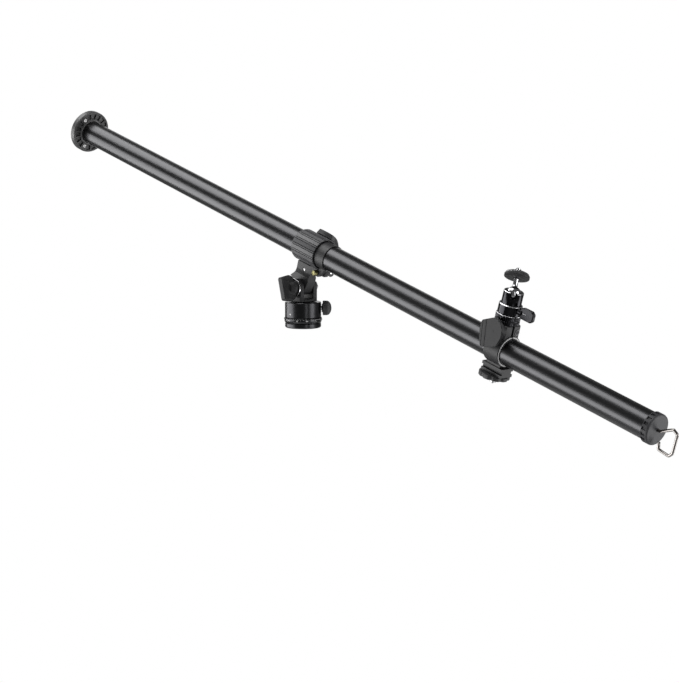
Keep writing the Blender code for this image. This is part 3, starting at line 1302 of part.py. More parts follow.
def build():
    for old in list(bpy.data.objects):
        bpy.data.objects.remove(old)
    black = plain_material("black_paint", (0.03, 0.03, 0.033), 0.3, 0.45)
    rubber = plain_material("rubber", (0.05, 0.05, 0.052), 0.0, 0.8)
    steel = plain_material("steel", (0.62, 0.62, 0.63), 1.0, 0.3)
    brass = plain_material("brass", (0.72, 0.6, 0.32), 1.0, 0.3)
    satin = plain_material("satin", (0.2, 0.2, 0.21), 0.9, 0.3)
    grey = plain_material("grey_plastic", (0.08, 0.08, 0.085), 0.0, 0.55)

    pan_axis = frame("pan_axis")
    carry(pan_axis, black, base_plate(), pan_body(), yoke_fork())
    carry(pan_axis, satin, scale_ring())
    carry(pan_axis, brass, thread_bush())
    carry(pan_axis, grey, pan_friction_ring())
    carry(pan_axis, steel, countersunk("yoke_screw", 0))
    pan_lock_axis = frame("pan_lock_axis", pan_axis, (0, 0, PAN_LOCK_Z), (0, 90, PAN_LOCK_ANGLE))
    shoe, screw, knob = pan_lock()
    carry(pan_lock_axis, brass, shoe)
    carry(pan_lock_axis, steel, screw)
    carry(pan_lock_axis, grey, knob)

    knob_axis = frame("tilt_knob_axis", pan_axis, (0, 0, TILT_Z), (90, 0, 0))
    bolt, washer, discs, nut, knob = tilt_joint()
    blade = frame("tilt_blade", knob_axis, (0, 0, 0), (0, 0, TILT_KNOB_TURN))
    carry(knob_axis, steel, bolt, washer)
    carry(knob_axis, grey, *discs)
    carry(blade, brass, nut)
    carry(blade, rubber, knob)

    tilt_axis = frame("tilt_axis", pan_axis, (0, 0, TILT_Z), (0, ARM_SLOPE, 0))
    carry(tilt_axis, black, arm_holder())
    clamp_axis = frame("clamp_axis", tilt_axis, (CLAMP_ALONG, 0, CLAMP_UP))
    bolt, nut, washer, pin = clamp_hardware()
    carry(clamp_axis, steel, bolt, washer, pin)
    carry(clamp_axis, brass, nut)
    lever_axis = frame("lever_axis", clamp_axis, (0, LEVER_PIN_OUT, 0))
    carry(lever_axis, grey, clamp_lever())
    arm_axis = frame("arm_axis", tilt_axis, (0, 0, ARM_HEIGHT))
    carry(arm_axis, rubber, twist_collar())
    carry(arm_axis, grey, collet())

    carry(arm_axis, satin, arm_tube())
    carry(arm_axis, black, flange_plate())
    plug, stud, pad = flange_inside()
    carry(arm_axis, steel, plug, stud, *flange_screws())
    carry(arm_axis, rubber, pad)
    cap_axis = frame("cap_axis", arm_axis, (CAP_FACE, 0, 0))
    carry(cap_axis, grey, end_cap())
    carry(cap_axis, steel, *hook_parts())

    ring_axis = frame("ring_axis", arm_axis, (RING_PLACE, 0, 0))
    carry(ring_axis, black, accessory_ring())
    carry(ring_axis, grey, ring_liner())
    carry(ring_axis, steel, *ring_hardware())
    paddle_axis = frame("paddle_axis", ring_axis, (RING_BOLT_ALONG, 0, RING_BOLT_UP))
    carry(paddle_axis, grey, paddle_lever())
    head_axis = frame("head_axis", ring_axis, (HEAD_PLACE, 0, 0))
    carry(head_axis, black, thumb_disc(), ball_body(), foot_lock_ring())
    carry(head_axis, brass, pressure_pad())
    wing_axis = frame("wing_axis", head_axis, (0, 0, WING_UP), (0, 90, 0))
    screw, knob = wing_parts()
    carry(wing_axis, steel, screw)
    carry(wing_axis, grey, knob)
    lean_plane = frame("lean_plane", head_axis, (0, 0, BALL_UP), (0, 0, BALL_LEAN_TURN))
    stem_axis = frame("stem_axis", lean_plane, (0, 0, 0), (0, BALL_LEAN, 0))
    disc, pad, stud = top_seat()
    carry(stem_axis, steel, ball(), ball_stem(), stud)
    carry(stem_axis, black, disc)
    carry(stem_axis, rubber, pad)


build()
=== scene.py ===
"""Looks for the tripod extension arm: smooth metal, ribbed grips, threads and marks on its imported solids."""
import json
import math

import bmesh
import bpy
from mathutils import Matrix, Vector


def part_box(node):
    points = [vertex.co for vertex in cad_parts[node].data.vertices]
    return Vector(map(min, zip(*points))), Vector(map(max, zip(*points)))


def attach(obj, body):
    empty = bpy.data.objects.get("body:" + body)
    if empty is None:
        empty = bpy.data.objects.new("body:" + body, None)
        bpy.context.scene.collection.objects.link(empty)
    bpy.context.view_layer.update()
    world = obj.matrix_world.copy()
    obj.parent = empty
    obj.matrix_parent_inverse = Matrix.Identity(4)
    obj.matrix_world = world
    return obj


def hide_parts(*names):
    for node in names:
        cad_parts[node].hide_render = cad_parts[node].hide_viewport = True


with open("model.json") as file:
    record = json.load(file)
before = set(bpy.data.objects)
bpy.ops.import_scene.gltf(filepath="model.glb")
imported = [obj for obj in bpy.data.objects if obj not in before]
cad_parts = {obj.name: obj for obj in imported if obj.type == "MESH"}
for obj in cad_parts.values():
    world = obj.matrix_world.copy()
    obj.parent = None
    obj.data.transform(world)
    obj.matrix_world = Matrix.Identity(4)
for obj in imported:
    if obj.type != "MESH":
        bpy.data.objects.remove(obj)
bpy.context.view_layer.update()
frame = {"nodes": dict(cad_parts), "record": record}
nodes = frame["nodes"]
record = frame["record"]
BODY_OF = {node: body for body, members in record["behaviour"]["bodies"].items() for node in members}
SLOT_OF = {entry["node"]: entry["material_slot"] for entry in record["subparts"]}

# Sizes shared with the solids, in metres
TUBE_R = 0.014
TUBE_BORE = 0.0125
TUBE_ENDS = (-0.4269, 0.4887)
TILT_Z = 0.0446
ARM_UP = 0.0459
ARM_SLOPE = 16.5
COLLAR_R = 0.0175
PAN_R = 0.02
SCALE_R = 0.021
LOCK_Z = 0.0215
LOCK_TURN = 47
KNOB_TURN = 14.5
FLANGE_FACE = -0.4262
FLANGE_BACK = -0.434
FLANGE_STUD_R = 0.0046
FLANGE_STUD_IN = -0.4072
FLANGE_STUD_OUT = 0.0106
FLANGE_LIP = 0.0009
FLANGE_PITCH = 0.0015875
CAP_PLACE = 0.497
CAP_R = 0.0156
CAP_LENGTH = 0.008
CAP_SPIGOT_R = 0.0122
CAP_SPIGOT_END = -0.0235
CAP_BORE = 0.0018
CLAMP_NUT_PLACE = (0.0204, -0.0044, 0.0245)
NECK_PIN_PLACE = (0, -0.0032, 0.0208)
LEVER_IN_R = 0.0205
QUARTER_R = 0.0031
QUARTER_PITCH = 0.00127

# The accessory clamp and the mini ball head
RING_PLACE = 0.29495
HEAD_SHIFT = -0.0017
PADDLE_PLACE = (0.00455, 0, 0.021)
EAR_BARREL_PLACE = (0.0088, 0.0066, 0.0195)
EAR_BARREL_R = 0.0031
THUMB_R = 0.016
THUMB_ENDS = (-0.0311, -0.0267)
THUMB_BORE = 0.0034
THUMB_LOBES = 9
THUMB_LOBE_DEPTH = 0.0012
PLATE_STUD_ENDS = (-0.0376, -0.0198)
BALL_UP = 0.057
BALL_R = 0.0075
LEAN_TURN = 132.7
LEAN = 36.5
WING_UP = 0.0433
WING_SCREW_R = 0.002
WING_SCREW_PITCH = 0.0007
WING_SCREW_ENDS = (0.0015, 0.0233)
LOCK_RING_R = 0.0127
LOCK_RING_BORE = 0.0105
LOCK_RING_ENDS = (0.0273, 0.0368)
BALL_NECK_R = 0.00295
BALL_BORE_R = 0.0022
BALL_BORE_FLOOR = 0.001
STEM_PIN_R = 0.0019
STEM_WAIST_R = 0.0025
STEM_TOP_R = 0.00265
STEM_LOW = 0.0071955
DISC_R = 0.01275
DISC_LOW = 0.0159955
DISC_HIGH = 0.0203955

# The hook's wire: its route from the cap's face, and the hook's head inside the tube
HOOK_ROUTE = (
    (-0.0445, 0),
    (0.003, 0),
    (0.0167, 0.0078),
    (0.0222, 0.005),
    (0.0222, -0.0138),
    (0.0188, -0.0177),
    (0.0062, -0.0165),
    (0.0047, -0.0098),
)
HOOK_WIRE_R = 0.0015
HOOK_BEND = 0.0024
HOOK_HEAD_R = 0.0028
HOOK_HEAD_T = 0.0019
HOOK_HEAD_PLACE = -0.04405

# The grip collar's ribs: steps of the turning round each facet, and the groove's depth
COLLAR_FACETS = 16
COLLAR_STEPS = 24
COLLAR_FACET_HALF = 7
COLLAR_GROOVE = 0.0011

# The end cap's grip notches between two heights, and the steps of the turning for each
CAP_NOTCHES = 18
CAP_STEPS = 16
CAP_NOTCH_DEPTH = 0.0012
CAP_NOTCH_ENDS = (-0.0071, -0.0025)

# Where the lever's blade starts, and how near its thicker inner side comes to the arm's axis
LEVER_RIB_LOW = -0.003
LEVER_RIB_R = 0.0184

# The paddle's two grooves, how they lean, and its arrow
PADDLE_GROOVES = (-0.0183, -0.0135)
PADDLE_GROOVE_W = 0.0006
PADDLE_GROOVE_LEAN = 0.15
PADDLE_GROOVE_DEPTH = 0.0004
PADDLE_ARROW_PLACE = (-0.0035, -0.0202, -0.001)

# The pan lock knob from the pan axis: its face, where its dome starts and how far it rises
LOCK_KNOB_R = 0.0081
LOCK_KNOB_FACE = 0.0206
LOCK_KNOB_DOME = 0.0261
LOCK_KNOB_RISE = 0.0052
LOCK_KNOB_FLUTES = (20, 0.00055)

# The pan scale: strokes and plain numbers, and the index dot
STROKES = 72
STROKE_W = 0.00018
STROKE_T = 0.00008
STROKE_TALL = 0.001
STROKE_SHORT = 0.0006
NUMBERS = 12
NUMBER_SIZE = 0.0016
NUMBER_T = 0.00003
NUMBER_DROP = 0.0022
SCALE_DROP = 0.0012
DOT_R = 0.0008
DOT_UP = 0.0157
DOT_TURN = -86

# Knurls: how many flutes, and how deep
DISC_KNURL = (40, 0.00042)
LOCK_RING_KNURL = (48, 0.00035)

# The disc's pad: its grooves' outer edges, and its rays
PAD_T = 0.0008
PAD_INNER = 0.0042
PAD_RELIEF = 0.0002
PAD_RIDGES = (0.0112, 0.0101, 0.009, 0.0079, 0.0068, 0.0057)
PAD_RAY_DEPTH = 0.0003
TOP_STUD_OUT = 0.0055

# The thread in the brass bush
BUSH_CREST = 0.0037
BUSH_ROOT = 0.0043
BUSH_PITCH = 0.0012
BUSH_ENDS = (0.0006, 0.0121)

# The studio, in metres from the pan axis
MIDDLE = Vector((0.03, 0, 0.03))
FLOOR_Z = -1.5
FLOOR_SIZE = 30
BACKDROP_AWAY = 3.4
BACKDROP_HALF = 1.15
BACKDROP_TOP = 1.7
ROOM_LIGHT = 0.15
LAMP_SHIFT = 0.3

# The lamps: name, the way from the arm, distance, laid along the arm or upright, long side, short side, watts
LAMPS = (
    ("top_softbox", (-0.433, -0.22, 0.874), 1.7, True, 2.2, 1.05, 38),
    ("side_softbox", (-0.74, -0.654, -0.16), 1.8, True, 2.2, 1.1, 42),
    ("front_softbox", (0.86, 0.3, 0.02), 1.8, False, 1.2, 0.9, 20),
    ("low_softbox", (0.543, 0.673, -0.5), 1.5, True, 0.7, 0.7, 7),
    ("near_softbox", (0.935, -0.353, 0.02), 1.9, False, 1.6, 0.3, 4),
)

# The camera
EYE_PLACE = (1.5417, -1.3679, 0.2441)
EYE_LENS = 99.676
EYE_SENSOR = 36
VIEW_TURN = 47.30206
VIEW_DROP = 7.19065


def turn(degrees, axis):
    """A turn about an axis, in degrees."""
    return Matrix.Rotation(math.radians(degrees), 4, axis)


def shift(x, y, z):
    """A shift in metres."""
    return Matrix.Translation((x, y, z))


# The frames that the pieces are drawn in
TILT = shift(0, 0, TILT_Z) @ turn(ARM_SLOPE, "Y")
ARM = TILT @ shift(0, 0, ARM_UP)
ALONG = ARM @ turn(90, "Y")
RING = ARM @ shift(RING_PLACE, 0, 0)
HEAD = RING @ shift(HEAD_SHIFT, 0, 0)
STEM = HEAD @ shift(0, 0, BALL_UP) @ turn(LEAN_TURN, "Z") @ turn(LEAN, "Y")
WING = HEAD @ shift(0, 0, WING_UP) @ turn(90, "Y")
CAP = ALONG @ shift(0, 0, CAP_PLACE)
LOCK = shift(0, 0, LOCK_Z) @ turn(LOCK_TURN, "Z") @ turn(90, "Y")
KNOB = shift(0, 0, TILT_Z) @ turn(90, "X") @ turn(KNOB_TURN, "Z")


def finish_of(
    name, colour, metallic, roughness, grain=900, depth=0.00002, spread=0.12, stretch=(1, 1, 1), shine=0.5
):
    """A surface with a fine grain in its colour, its gloss and its height."""
    material = bpy.data.materials.new(name)
    material.use_nodes = True
    tree = material.node_tree
    shader = tree.nodes["Principled BSDF"]
    shader.inputs["Metallic"].default_value = metallic
    shader.inputs["Specular IOR Level"].default_value = shine
    place = tree.nodes.new("ShaderNodeTexCoord")
    mapping = tree.nodes.new("ShaderNodeMapping")
    mapping.inputs["Scale"].default_value = stretch
    tree.links.new(place.outputs["Object"], mapping.inputs["Vector"])
    fine = tree.nodes.new("ShaderNodeTexNoise")
    fine.inputs["Scale"].default_value = grain
    fine.inputs["Detail"].default_value = 3
    tree.links.new(mapping.outputs["Vector"], fine.inputs["Vector"])
    broad = tree.nodes.new("ShaderNodeTexNoise")
    broad.inputs["Scale"].default_value = 60
    broad.inputs["Detail"].default_value = 4
    tree.links.new(place.outputs["Object"], broad.inputs["Vector"])
    tint = tree.nodes.new("ShaderNodeMix")
    tint.data_type = "RGBA"
    tint.inputs["A"].default_value = (*[c * (1 - spread) for c in colour], 1)
    tint.inputs["B"].default_value = (*[min(1, c * (1 + spread)) for c in colour], 1)
    tree.links.new(broad.outputs["Fac"], tint.inputs["Factor"])
    tree.links.new(tint.outputs["Result"], shader.inputs["Base Color"])
    gloss = tree.nodes.new("ShaderNodeMapRange")
    gloss.inputs["To Min"].default_value = roughness * 0.86
    gloss.inputs["To Max"].default_value = min(1, roughness * 1.14)
    tree.links.new(fine.outputs["Fac"], gloss.inputs["Value"])
    tree.links.new(gloss.outputs["Result"], shader.inputs["Roughness"])
    bump = tree.nodes.new("ShaderNodeBump")
    bump.inputs["Strength"].default_value = 0.5
    bump.inputs["Distance"].default_value = depth
    tree.links.new(fine.outputs["Fac"], bump.inputs["Height"])
    tree.links.new(bump.outputs["Normal"], shader.inputs["Normal"])
    return material


TUBE_BLACK = finish_of("tube_satin_black", (0.05, 0.05, 0.052), 1.0, 0.3, 700, 0.000001, 0.03, (0.05, 1, 1))
PAINT = finish_of("fine_textured_paint", (0.02, 0.02, 0.021), 0.0, 0.45, 1500, 0.00003)
GLOSS_PAINT = finish_of("smooth_black_anodising", (0.05, 0.05, 0.052), 0.9, 0.26, 900, 0.000005)
HEAD_BLACK = finish_of("polished_black_anodising", (0.022, 0.022, 0.024), 1.0, 0.14, 900, 0.000002, 0.05)
RUBBER = finish_of("dark_grip_rubber", (0.02, 0.02, 0.021), 0.0, 0.55, 1800, 0.00003)
COLLAR_RUBBER = finish_of("collar_rubber", (0.05, 0.05, 0.053), 0.0, 0.5, 1800, 0.00003)
PLASTIC = finish_of("moulded_grey_plastic", (0.02, 0.02, 0.021), 0.0, 0.5, 1600, 0.00003)
SMOOTH_PLASTIC = finish_of("smooth_dark_plastic", (0.012, 0.012, 0.013), 0.0, 0.6, 2200, 0.00002, shine=0.35)
FLANGE_PAINT = finish_of("flange_paint", (0.034, 0.034, 0.035), 0.0, 0.42, 1500, 0.00002)
CAP_RUBBER = finish_of("end_cap_rubber", (0.022, 0.022, 0.025), 0.0, 0.55, 1800, 0.00002, shine=0.4)
HOLDER_PAINT = finish_of("holder_paint", (0.014, 0.014, 0.015), 0.0, 0.5, 1500, 0.00002, shine=0.35)
LEVER_PLASTIC = finish_of("lever_plastic", (0.016, 0.016, 0.017), 0.0, 0.5, 1800, 0.00002)
YOKE_PAINT = finish_of("fork_paint", (0.01, 0.01, 0.011), 0.0, 0.55, 1500, 0.00003, shine=0.3)
TURNED_BLACK = finish_of("turned_black_anodising", (0.034, 0.034, 0.036), 0.95, 0.27, 2500, 0.000001, 0.04)
BLADE_BLACK = finish_of("wing_black", (0.018, 0.018, 0.02), 0.8, 0.32, 1100, 0.000006)
PALE_LINER = finish_of("pale_liner_plastic", (0.42, 0.42, 0.42), 0.0, 0.4, 1600, 0.00001, 0.06)
STEEL = finish_of("bright_plated_steel", (0.62, 0.62, 0.63), 1.0, 0.2, 600, 0.000003, 0.05)
POLISHED = finish_of("polished_steel", (0.42, 0.42, 0.43), 1.0, 0.12, 500, 0.000001, 0.03)
HOOK_STEEL = finish_of("hook_steel", (0.26, 0.245, 0.235), 1.0, 0.22, 700, 0.000002, 0.1)
SCREW_ZINC = finish_of("pale_zinc_screws", (0.9, 0.9, 0.9), 0.2, 0.4, 900, 0.000002, 0.04)
# Pale grey painted highlight for the front face of the flange's tube seat
PAINTED_SEAT_HIGHLIGHT = finish_of("painted_seat_highlight", (0.16, 0.16, 0.16), 0.3, 0.5, 1200, 0.000002, 0.05)
BRIGHT_EDGE = finish_of("bright_cut_edge", (0.5, 0.5, 0.51), 1.0, 0.28, 1200, 0.000002, 0.05)
BRASS = finish_of("turned_brass", (0.22, 0.205, 0.1), 1.0, 0.42, 800, 0.000005, 0.08)
WHITE_MARK = finish_of("white_marking_paint", (0.85, 0.85, 0.84), 0.0, 0.6, 2500, 0.00001, 0.06)
FINISHES = {
    "black_paint": PAINT,
    "dark_anodised": GLOSS_PAINT,
    "rubber": RUBBER,
    "steel": STEEL,
    "brass": BRASS,
    "grey_plastic": PLASTIC,
}

# The rounding of edges, and the edges and finishes of pieces that differ from the rest
EDGE = 0.0002
EDGE_OF = {"thread_bush": 0}
COAT_OF = {
    "arm_holder": HOLDER_PAINT,
    "accessory_ring": HOLDER_PAINT,
    "yoke_fork": YOKE_PAINT,
    "pan_body": TURNED_BLACK,
    "scale_ring": TURNED_BLACK,
    "base_plate": TURNED_BLACK,
    "ring_liner": PALE_LINER,
    "flange_screw_1": SCREW_ZINC,
    "flange_screw_2": SCREW_ZINC,
    "flange_screw_3": SCREW_ZINC,
}
dressed = set()


def piece_from(name, mesh, material, body, sharp=32):
    """A finished piece from a bmesh, riding on its body."""
    data = bpy.data.meshes.new(name)
    mesh.to_mesh(data)
    mesh.free()
    data.shade_smooth()
    data.set_sharp_from_angle(angle=math.radians(sharp))
    piece = bpy.data.objects.new(name, data)
    bpy.context.scene.collection.objects.link(piece)
    piece.data.materials.append(material)
    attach(piece, body)
    return piece


def turned(profile, steps):
    """A bmesh turned about Z from the points of a closed outline, each a radius and a height."""
    mesh = bmesh.new()
    points = [mesh.verts.new((radius, 0, height)) for radius, height in profile]
    edges = [mesh.edges.new(pair) for pair in zip(points, points[1:] + points[:1])]
    bmesh.ops.spin(
        mesh,
        geom=points + edges,
        cent=(0, 0, 0),
        axis=(0, 0, 1),
        dvec=(0, 0, 0),
        angle=math.tau,
        steps=steps,
        use_merge=True,
        use_duplicate=False,
    )
    bmesh.ops.remove_doubles(mesh, verts=mesh.verts, dist=0.000001)
    bmesh.ops.recalc_face_normals(mesh, faces=mesh.faces)
    return mesh


def solid_copy(node):
    """A copy of a solid with its points merged and its flat faces joined."""
    mesh = bmesh.new()
    mesh.from_mesh(nodes[node].data)
    bmesh.ops.remove_doubles(mesh, verts=mesh.verts, dist=0.000002)
    bmesh.ops.dissolve_limit(
        mesh, angle_limit=math.radians(1), use_dissolve_boundaries=False, verts=mesh.verts, edges=mesh.edges
    )
    return mesh


def rounded(piece, width, segments=2):
    """Rounds the sharp edges of a finished piece."""
    edge = piece.modifiers.new("edge", "BEVEL")
    edge.width = width
    edge.segments = segments
    edge.limit_method = "ANGLE"
    edge.angle_limit = math.radians(40)


def refined(node, width, material=None, segments=2, accent=None):
    """A smooth copy of a solid with rounded edges, that stands for it."""
    mesh = solid_copy(node)
    if accent:
        mark_edges(mesh, accent[1], accent[2])
    piece = stand_in(node, mesh, Matrix(), material, accent=accent and accent[0])
    if width:
        rounded(piece, width, segments)


def cut_round(mesh, inside, depth_at):
    """Draws the outer points of a turned mesh towards its axis, by a depth that depends on the angle."""
    for point in mesh.verts:
        radius = math.hypot(*point.co.xy)
        if radius > inside:
            share = 1 - depth_at(math.atan2(point.co.y, point.co.x)) / radius
            point.co.x *= share
            point.co.y *= share


def flutes(count, depth):
    """Round grooves, evenly spaced."""
    return lambda angle: depth * (0.5 - 0.5 * math.cos(count * angle))


def lobes(count, depth):
    """Wide lobes with narrow hollows between them."""
    return lambda angle: depth * max(0.0, -math.cos(count * angle))


def mark_edges(mesh, axis, reach):
    """Gives the sloping outer edges round an axis the second finish."""
    back = axis.inverted()
    upright = back.to_3x3()
    mesh.normal_update()
    for face in mesh.faces:
        centre = back @ face.calc_center_median()
        slope = abs((upright @ face.normal).z)
        if math.hypot(centre.x, centre.y) > reach and 0.4 < slope < 0.93:
            face.material_index = 1


def screw_thread(mesh, crest, root, pitch, start, end, steps=28):
    """Adds a helical ridge between two heights."""
    wide = 0.44 * pitch
    turns = (end - start - 2 * wide) / pitch
    place = start + wide
    points = [(root, place - wide), (crest, place - wide / 4)]
    points += [(crest, place + wide / 4), (root, place + wide)]
    ridge = [mesh.verts.new((radius, 0, height)) for radius, height in points]
    edges = [mesh.edges.new(pair) for pair in zip(ridge, ridge[1:] + ridge[:1])]
    count = round(turns * steps)
    made = bmesh.ops.spin(
        mesh,
        geom=ridge + edges,
        cent=(0, 0, 0),
        axis=(0, 0, 1),
        dvec=(0, 0, pitch / steps),
        angle=math.tau * count / steps,
        steps=count,
        use_duplicate=False,
    )
    last = [item for item in made["geom_last"] if isinstance(item, bmesh.types.BMEdge)]
    bmesh.ops.holes_fill(mesh, edges=edges + last, sides=4)
    bmesh.ops.recalc_face_normals(mesh, faces=mesh.faces)


def stand_in(node, mesh, place, material=None, sharp=32, accent=None):
    """A piece drawn in a frame that stands for a solid."""
    mesh.transform(place)
    slot = SLOT_OF[node]
    piece = piece_from(f"{node}_skin", mesh, material or FINISHES[slot], BODY_OF[node], sharp)
    if accent:
        piece.data.materials.append(accent)
    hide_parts(node)
    dressed.add(node)
    return piece


def threaded_stud(node, place, radius, pitch, low, high, chamfer, start, end):
    """A stud with a real thread from one height to another."""
    root = radius - 0.55 * pitch
    ends = [(0, low), (root - chamfer / 2, low), (root, low + chamfer / 2), (root, high - chamfer / 2)]
    ends += [(root - chamfer / 2, high), (0, high)]
    mesh = turned(ends, 32)
    screw_thread(mesh, radius, root - 0.0001, pitch, start, end)
    return stand_in(node, mesh, place, STEEL)


def arm_tube():
    """The long tube, turned finely, with a small chamfer at each end."""
    edge = 0.0002
    start, end = TUBE_ENDS
    profile = [(TUBE_BORE, start), (TUBE_R - edge, start), (TUBE_R, start + edge), (TUBE_R, end - edge)]
    profile += [(TUBE_R - edge, end), (TUBE_BORE, end)]
    stand_in("arm_tube", turned(profile, 160), ALONG, TUBE_BLACK)


def twist_collar():
    """The grip collar: flat facets with a narrow rib between two grooves from one to the next."""
    profile = [(0.0143, -0.0146), (0.0153, -0.0146), (0.0165, -0.0138), (0.01715, -0.0129)]
    profile += [(COLLAR_R, -0.0116), (COLLAR_R, 0.0221), (0.01735, 0.0226), (0.0169, 0.0229)]
    profile += [(0.0163, 0.0229), (0.0162, 0.0198), (0.0159, 0.0198), (0.0159, -0.0037)]
    profile += [(0.0162, -0.0037), (0.0162, -0.0126), (0.0143, -0.0126)]
    mesh = turned(profile, COLLAR_FACETS * COLLAR_STEPS)
    step = math.tau / (COLLAR_FACETS * COLLAR_STEPS)
    half = COLLAR_FACET_HALF * step

    def facet_depth(angle):
        place = (angle / step + COLLAR_STEPS / 2) % COLLAR_STEPS - COLLAR_STEPS / 2
        if abs(place) <= COLLAR_FACET_HALF + 0.5:
            return COLLAR_R * (1 - math.cos(half) / math.cos(place * step))
        return COLLAR_GROOVE if round(abs(place)) <= COLLAR_FACET_HALF + 2 else 0.00005

    cut_round(mesh, COLLAR_R - 0.0011, facet_depth)
    stand_in("twist_collar", mesh, ALONG, COLLAR_RUBBER, 20)


def clamp_nut():
    """The brass nut with a turned ring round its closed end."""
    profile = [(0.0023, 0), (0.0031, 0), (0.0031, 0.0008), (0.0028, 0.0012), (0.0028, 0.0036)]
    profile += [(0.0025, 0.0042), (0.0021, 0.0042), (0.0019, 0.0037), (0.0015, 0.0037), (0.0013, 0.0041)]
    profile += [(0, 0.0042), (0, 0.0034), (0.0023, 0.0034)]
    stand_in("clamp_nut", turned(profile, 40), TILT @ shift(*CLAMP_NUT_PLACE) @ turn(90, "X"), BRASS)


def pan_lock_knob():
    """The small domed knob with fine flutes round it."""
    face = LOCK_KNOB_FACE
    profile = [(0.0028, face), (0.0048, face), (0.0048, 0.0216), (0.0076, 0.0216), (LOCK_KNOB_R, 0.0221)]
    for degrees in (0, 15, 30, 45, 60, 75):
        angle = math.radians(degrees)
        profile.append((LOCK_KNOB_R * math.cos(angle), LOCK_KNOB_DOME + LOCK_KNOB_RISE * math.sin(angle)))
    profile += [(0, LOCK_KNOB_DOME + LOCK_KNOB_RISE), (0, 0.0277), (0.0028, 0.0277)]
    mesh = turned(profile, 160)
    cut_round(mesh, 0.0056, flutes(*LOCK_KNOB_FLUTES))
    stand_in("pan_lock_knob", mesh, LOCK, RUBBER)


def scale_marks():
    """Short strokes and plain numbers round the pan scale, and the index dot."""
    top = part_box("scale_ring")[1][2] - SCALE_DROP
    mesh = bmesh.new()
    for number in range(STROKES):
        tall = STROKE_TALL if number % 6 == 0 else STROKE_SHORT
        made = bmesh.ops.create_cube(mesh, size=1)["verts"]
        bmesh.ops.scale(mesh, vec=(STROKE_T, STROKE_W, tall), verts=made)
        bmesh.ops.translate(mesh, vec=(SCALE_R, 0, top - tall / 2), verts=made)
        round_it = Matrix.Rotation(math.tau * number / STROKES, 3, "Z")
        bmesh.ops.rotate(mesh, cent=(0, 0, 0), matrix=round_it, verts=made)
    piece_from("scale_strokes", mesh, WHITE_MARK, BODY_OF["scale_ring"])
    numbers = bmesh.new()
    for number in range(NUMBERS):
        text = bpy.data.curves.new("number", "FONT")
        text.body = str(30 * number)
        text.size = NUMBER_SIZE
        text.align_x = "CENTER"
        text.extrude = NUMBER_T
        holder = bpy.data.objects.new("number", text)
        shape = bpy.data.meshes.new_from_object(holder)
        stand = Matrix.Rotation(math.tau * number / NUMBERS, 4, "Z") @ shift(SCALE_R, 0, top - NUMBER_DROP)
        shape.transform(stand @ turn(90, "Z") @ turn(90, "X"))
        numbers.from_mesh(shape)
        bpy.data.objects.remove(holder)
        bpy.data.meshes.remove(shape)
    bmesh.ops.remove_doubles(numbers, verts=numbers.verts, dist=0.000001)
    piece_from("scale_numbers", numbers, WHITE_MARK, BODY_OF["scale_ring"])
    dot = turned([(0, -0.0003), (DOT_R, -0.0003), (DOT_R, 0.00003), (0, 0.00005)], 24)
    dot.transform(turn(DOT_TURN, "Z") @ shift(PAN_R, 0, DOT_UP) @ turn(90, "Y"))
    piece_from("index_dot", dot, WHITE_MARK, BODY_OF["pan_body"])


def top_disc():
    """The knurled seat with bright turned edges, its patterned pad and the threaded camera stud."""
    profile = [(0.0022, DISC_LOW), (0.0075, DISC_LOW), (0.0079, DISC_LOW + 0.0003)]
    profile += [(0.00995, DISC_LOW + 0.0003), (DISC_R, DISC_LOW + 0.0013), (DISC_R, DISC_HIGH - 0.0006)]
    profile += [(DISC_R - 0.0006, DISC_HIGH), (0.0034, DISC_HIGH), (0.0034, DISC_LOW + 0.0018)]
    profile.append((0.0022, DISC_LOW + 0.0018))
    mesh = turned(profile, 320)
    cut_round(mesh, DISC_R - 0.0004, flutes(*DISC_KNURL))
    mark_edges(mesh, Matrix(), DISC_R - 0.0012)
    stand_in("top_disc", mesh, STEM, HOLDER_PAINT, 30, BRIGHT_EDGE)
    low = DISC_HIGH + 0.0003
    high = low + PAD_T
    floor = high - PAD_RELIEF
    profile = [(PAD_INNER, low), (DISC_R - 0.001, low), (DISC_R - 0.001, floor)]
    for radius in PAD_RIDGES:
        profile += [(radius, floor), (radius - 0.0003, high), (radius - 0.0006, high)]
        profile.append((radius - 0.0009, floor))
    profile.append((PAD_INNER, floor))
    pad = turned(profile, 120)
    for point in pad.verts:
        ray = round(math.degrees(math.atan2(point.co.y, point.co.x)) / 3)
        if point.co.z > high - PAD_RELIEF / 2 and ray % 5 == 0:
            point.co.z -= PAD_RAY_DEPTH
    stand_in("disc_pad", pad, STEM, RUBBER, 25)
    tip = high + TOP_STUD_OUT
    ends = (DISC_LOW + 0.0021, tip, 0.0009, high + 0.0002, tip - 0.0006)
    threaded_stud("top_stud", STEM, QUARTER_R, QUARTER_PITCH, *ends)


def ball_and_stem():
    """The polished ball and its stem, which flares into it and into the disc."""
    profile = [(0, -BALL_R)]
    top = math.acos(BALL_NECK_R / BALL_R)
    for step in range(1, 25):
        angle = -math.pi / 2 + (math.pi / 2 + top) * step / 24
        profile.append((BALL_R * math.cos(angle), BALL_R * math.sin(angle)))
    profile += [(BALL_BORE_R, BALL_R * math.sin(top)), (BALL_BORE_R, BALL_BORE_FLOOR), (0, BALL_BORE_FLOOR)]
    stand_in("ball", turned(profile, 64), STEM, POLISHED, 50)
    pin, low, high = STEM_PIN_R, STEM_LOW, DISC_LOW - 0.0003
    profile = [(0, 0.0013), (pin, 0.0013), (pin, low), (0.0028, low), (0.0027, low + 0.0004)]
    profile += [(0.0026, low + 0.001), (0.00255, low + 0.0018), (STEM_WAIST_R, low + 0.003)]
    profile += [(STEM_WAIST_R, high - 0.0013), (STEM_TOP_R, high - 0.0009), (STEM_TOP_R, high)]
    profile += [(pin, high), (pin, high + 0.0016), (0, high + 0.0016)]
    stand_in("ball_stem", turned(profile, 40), STEM, POLISHED, 50)


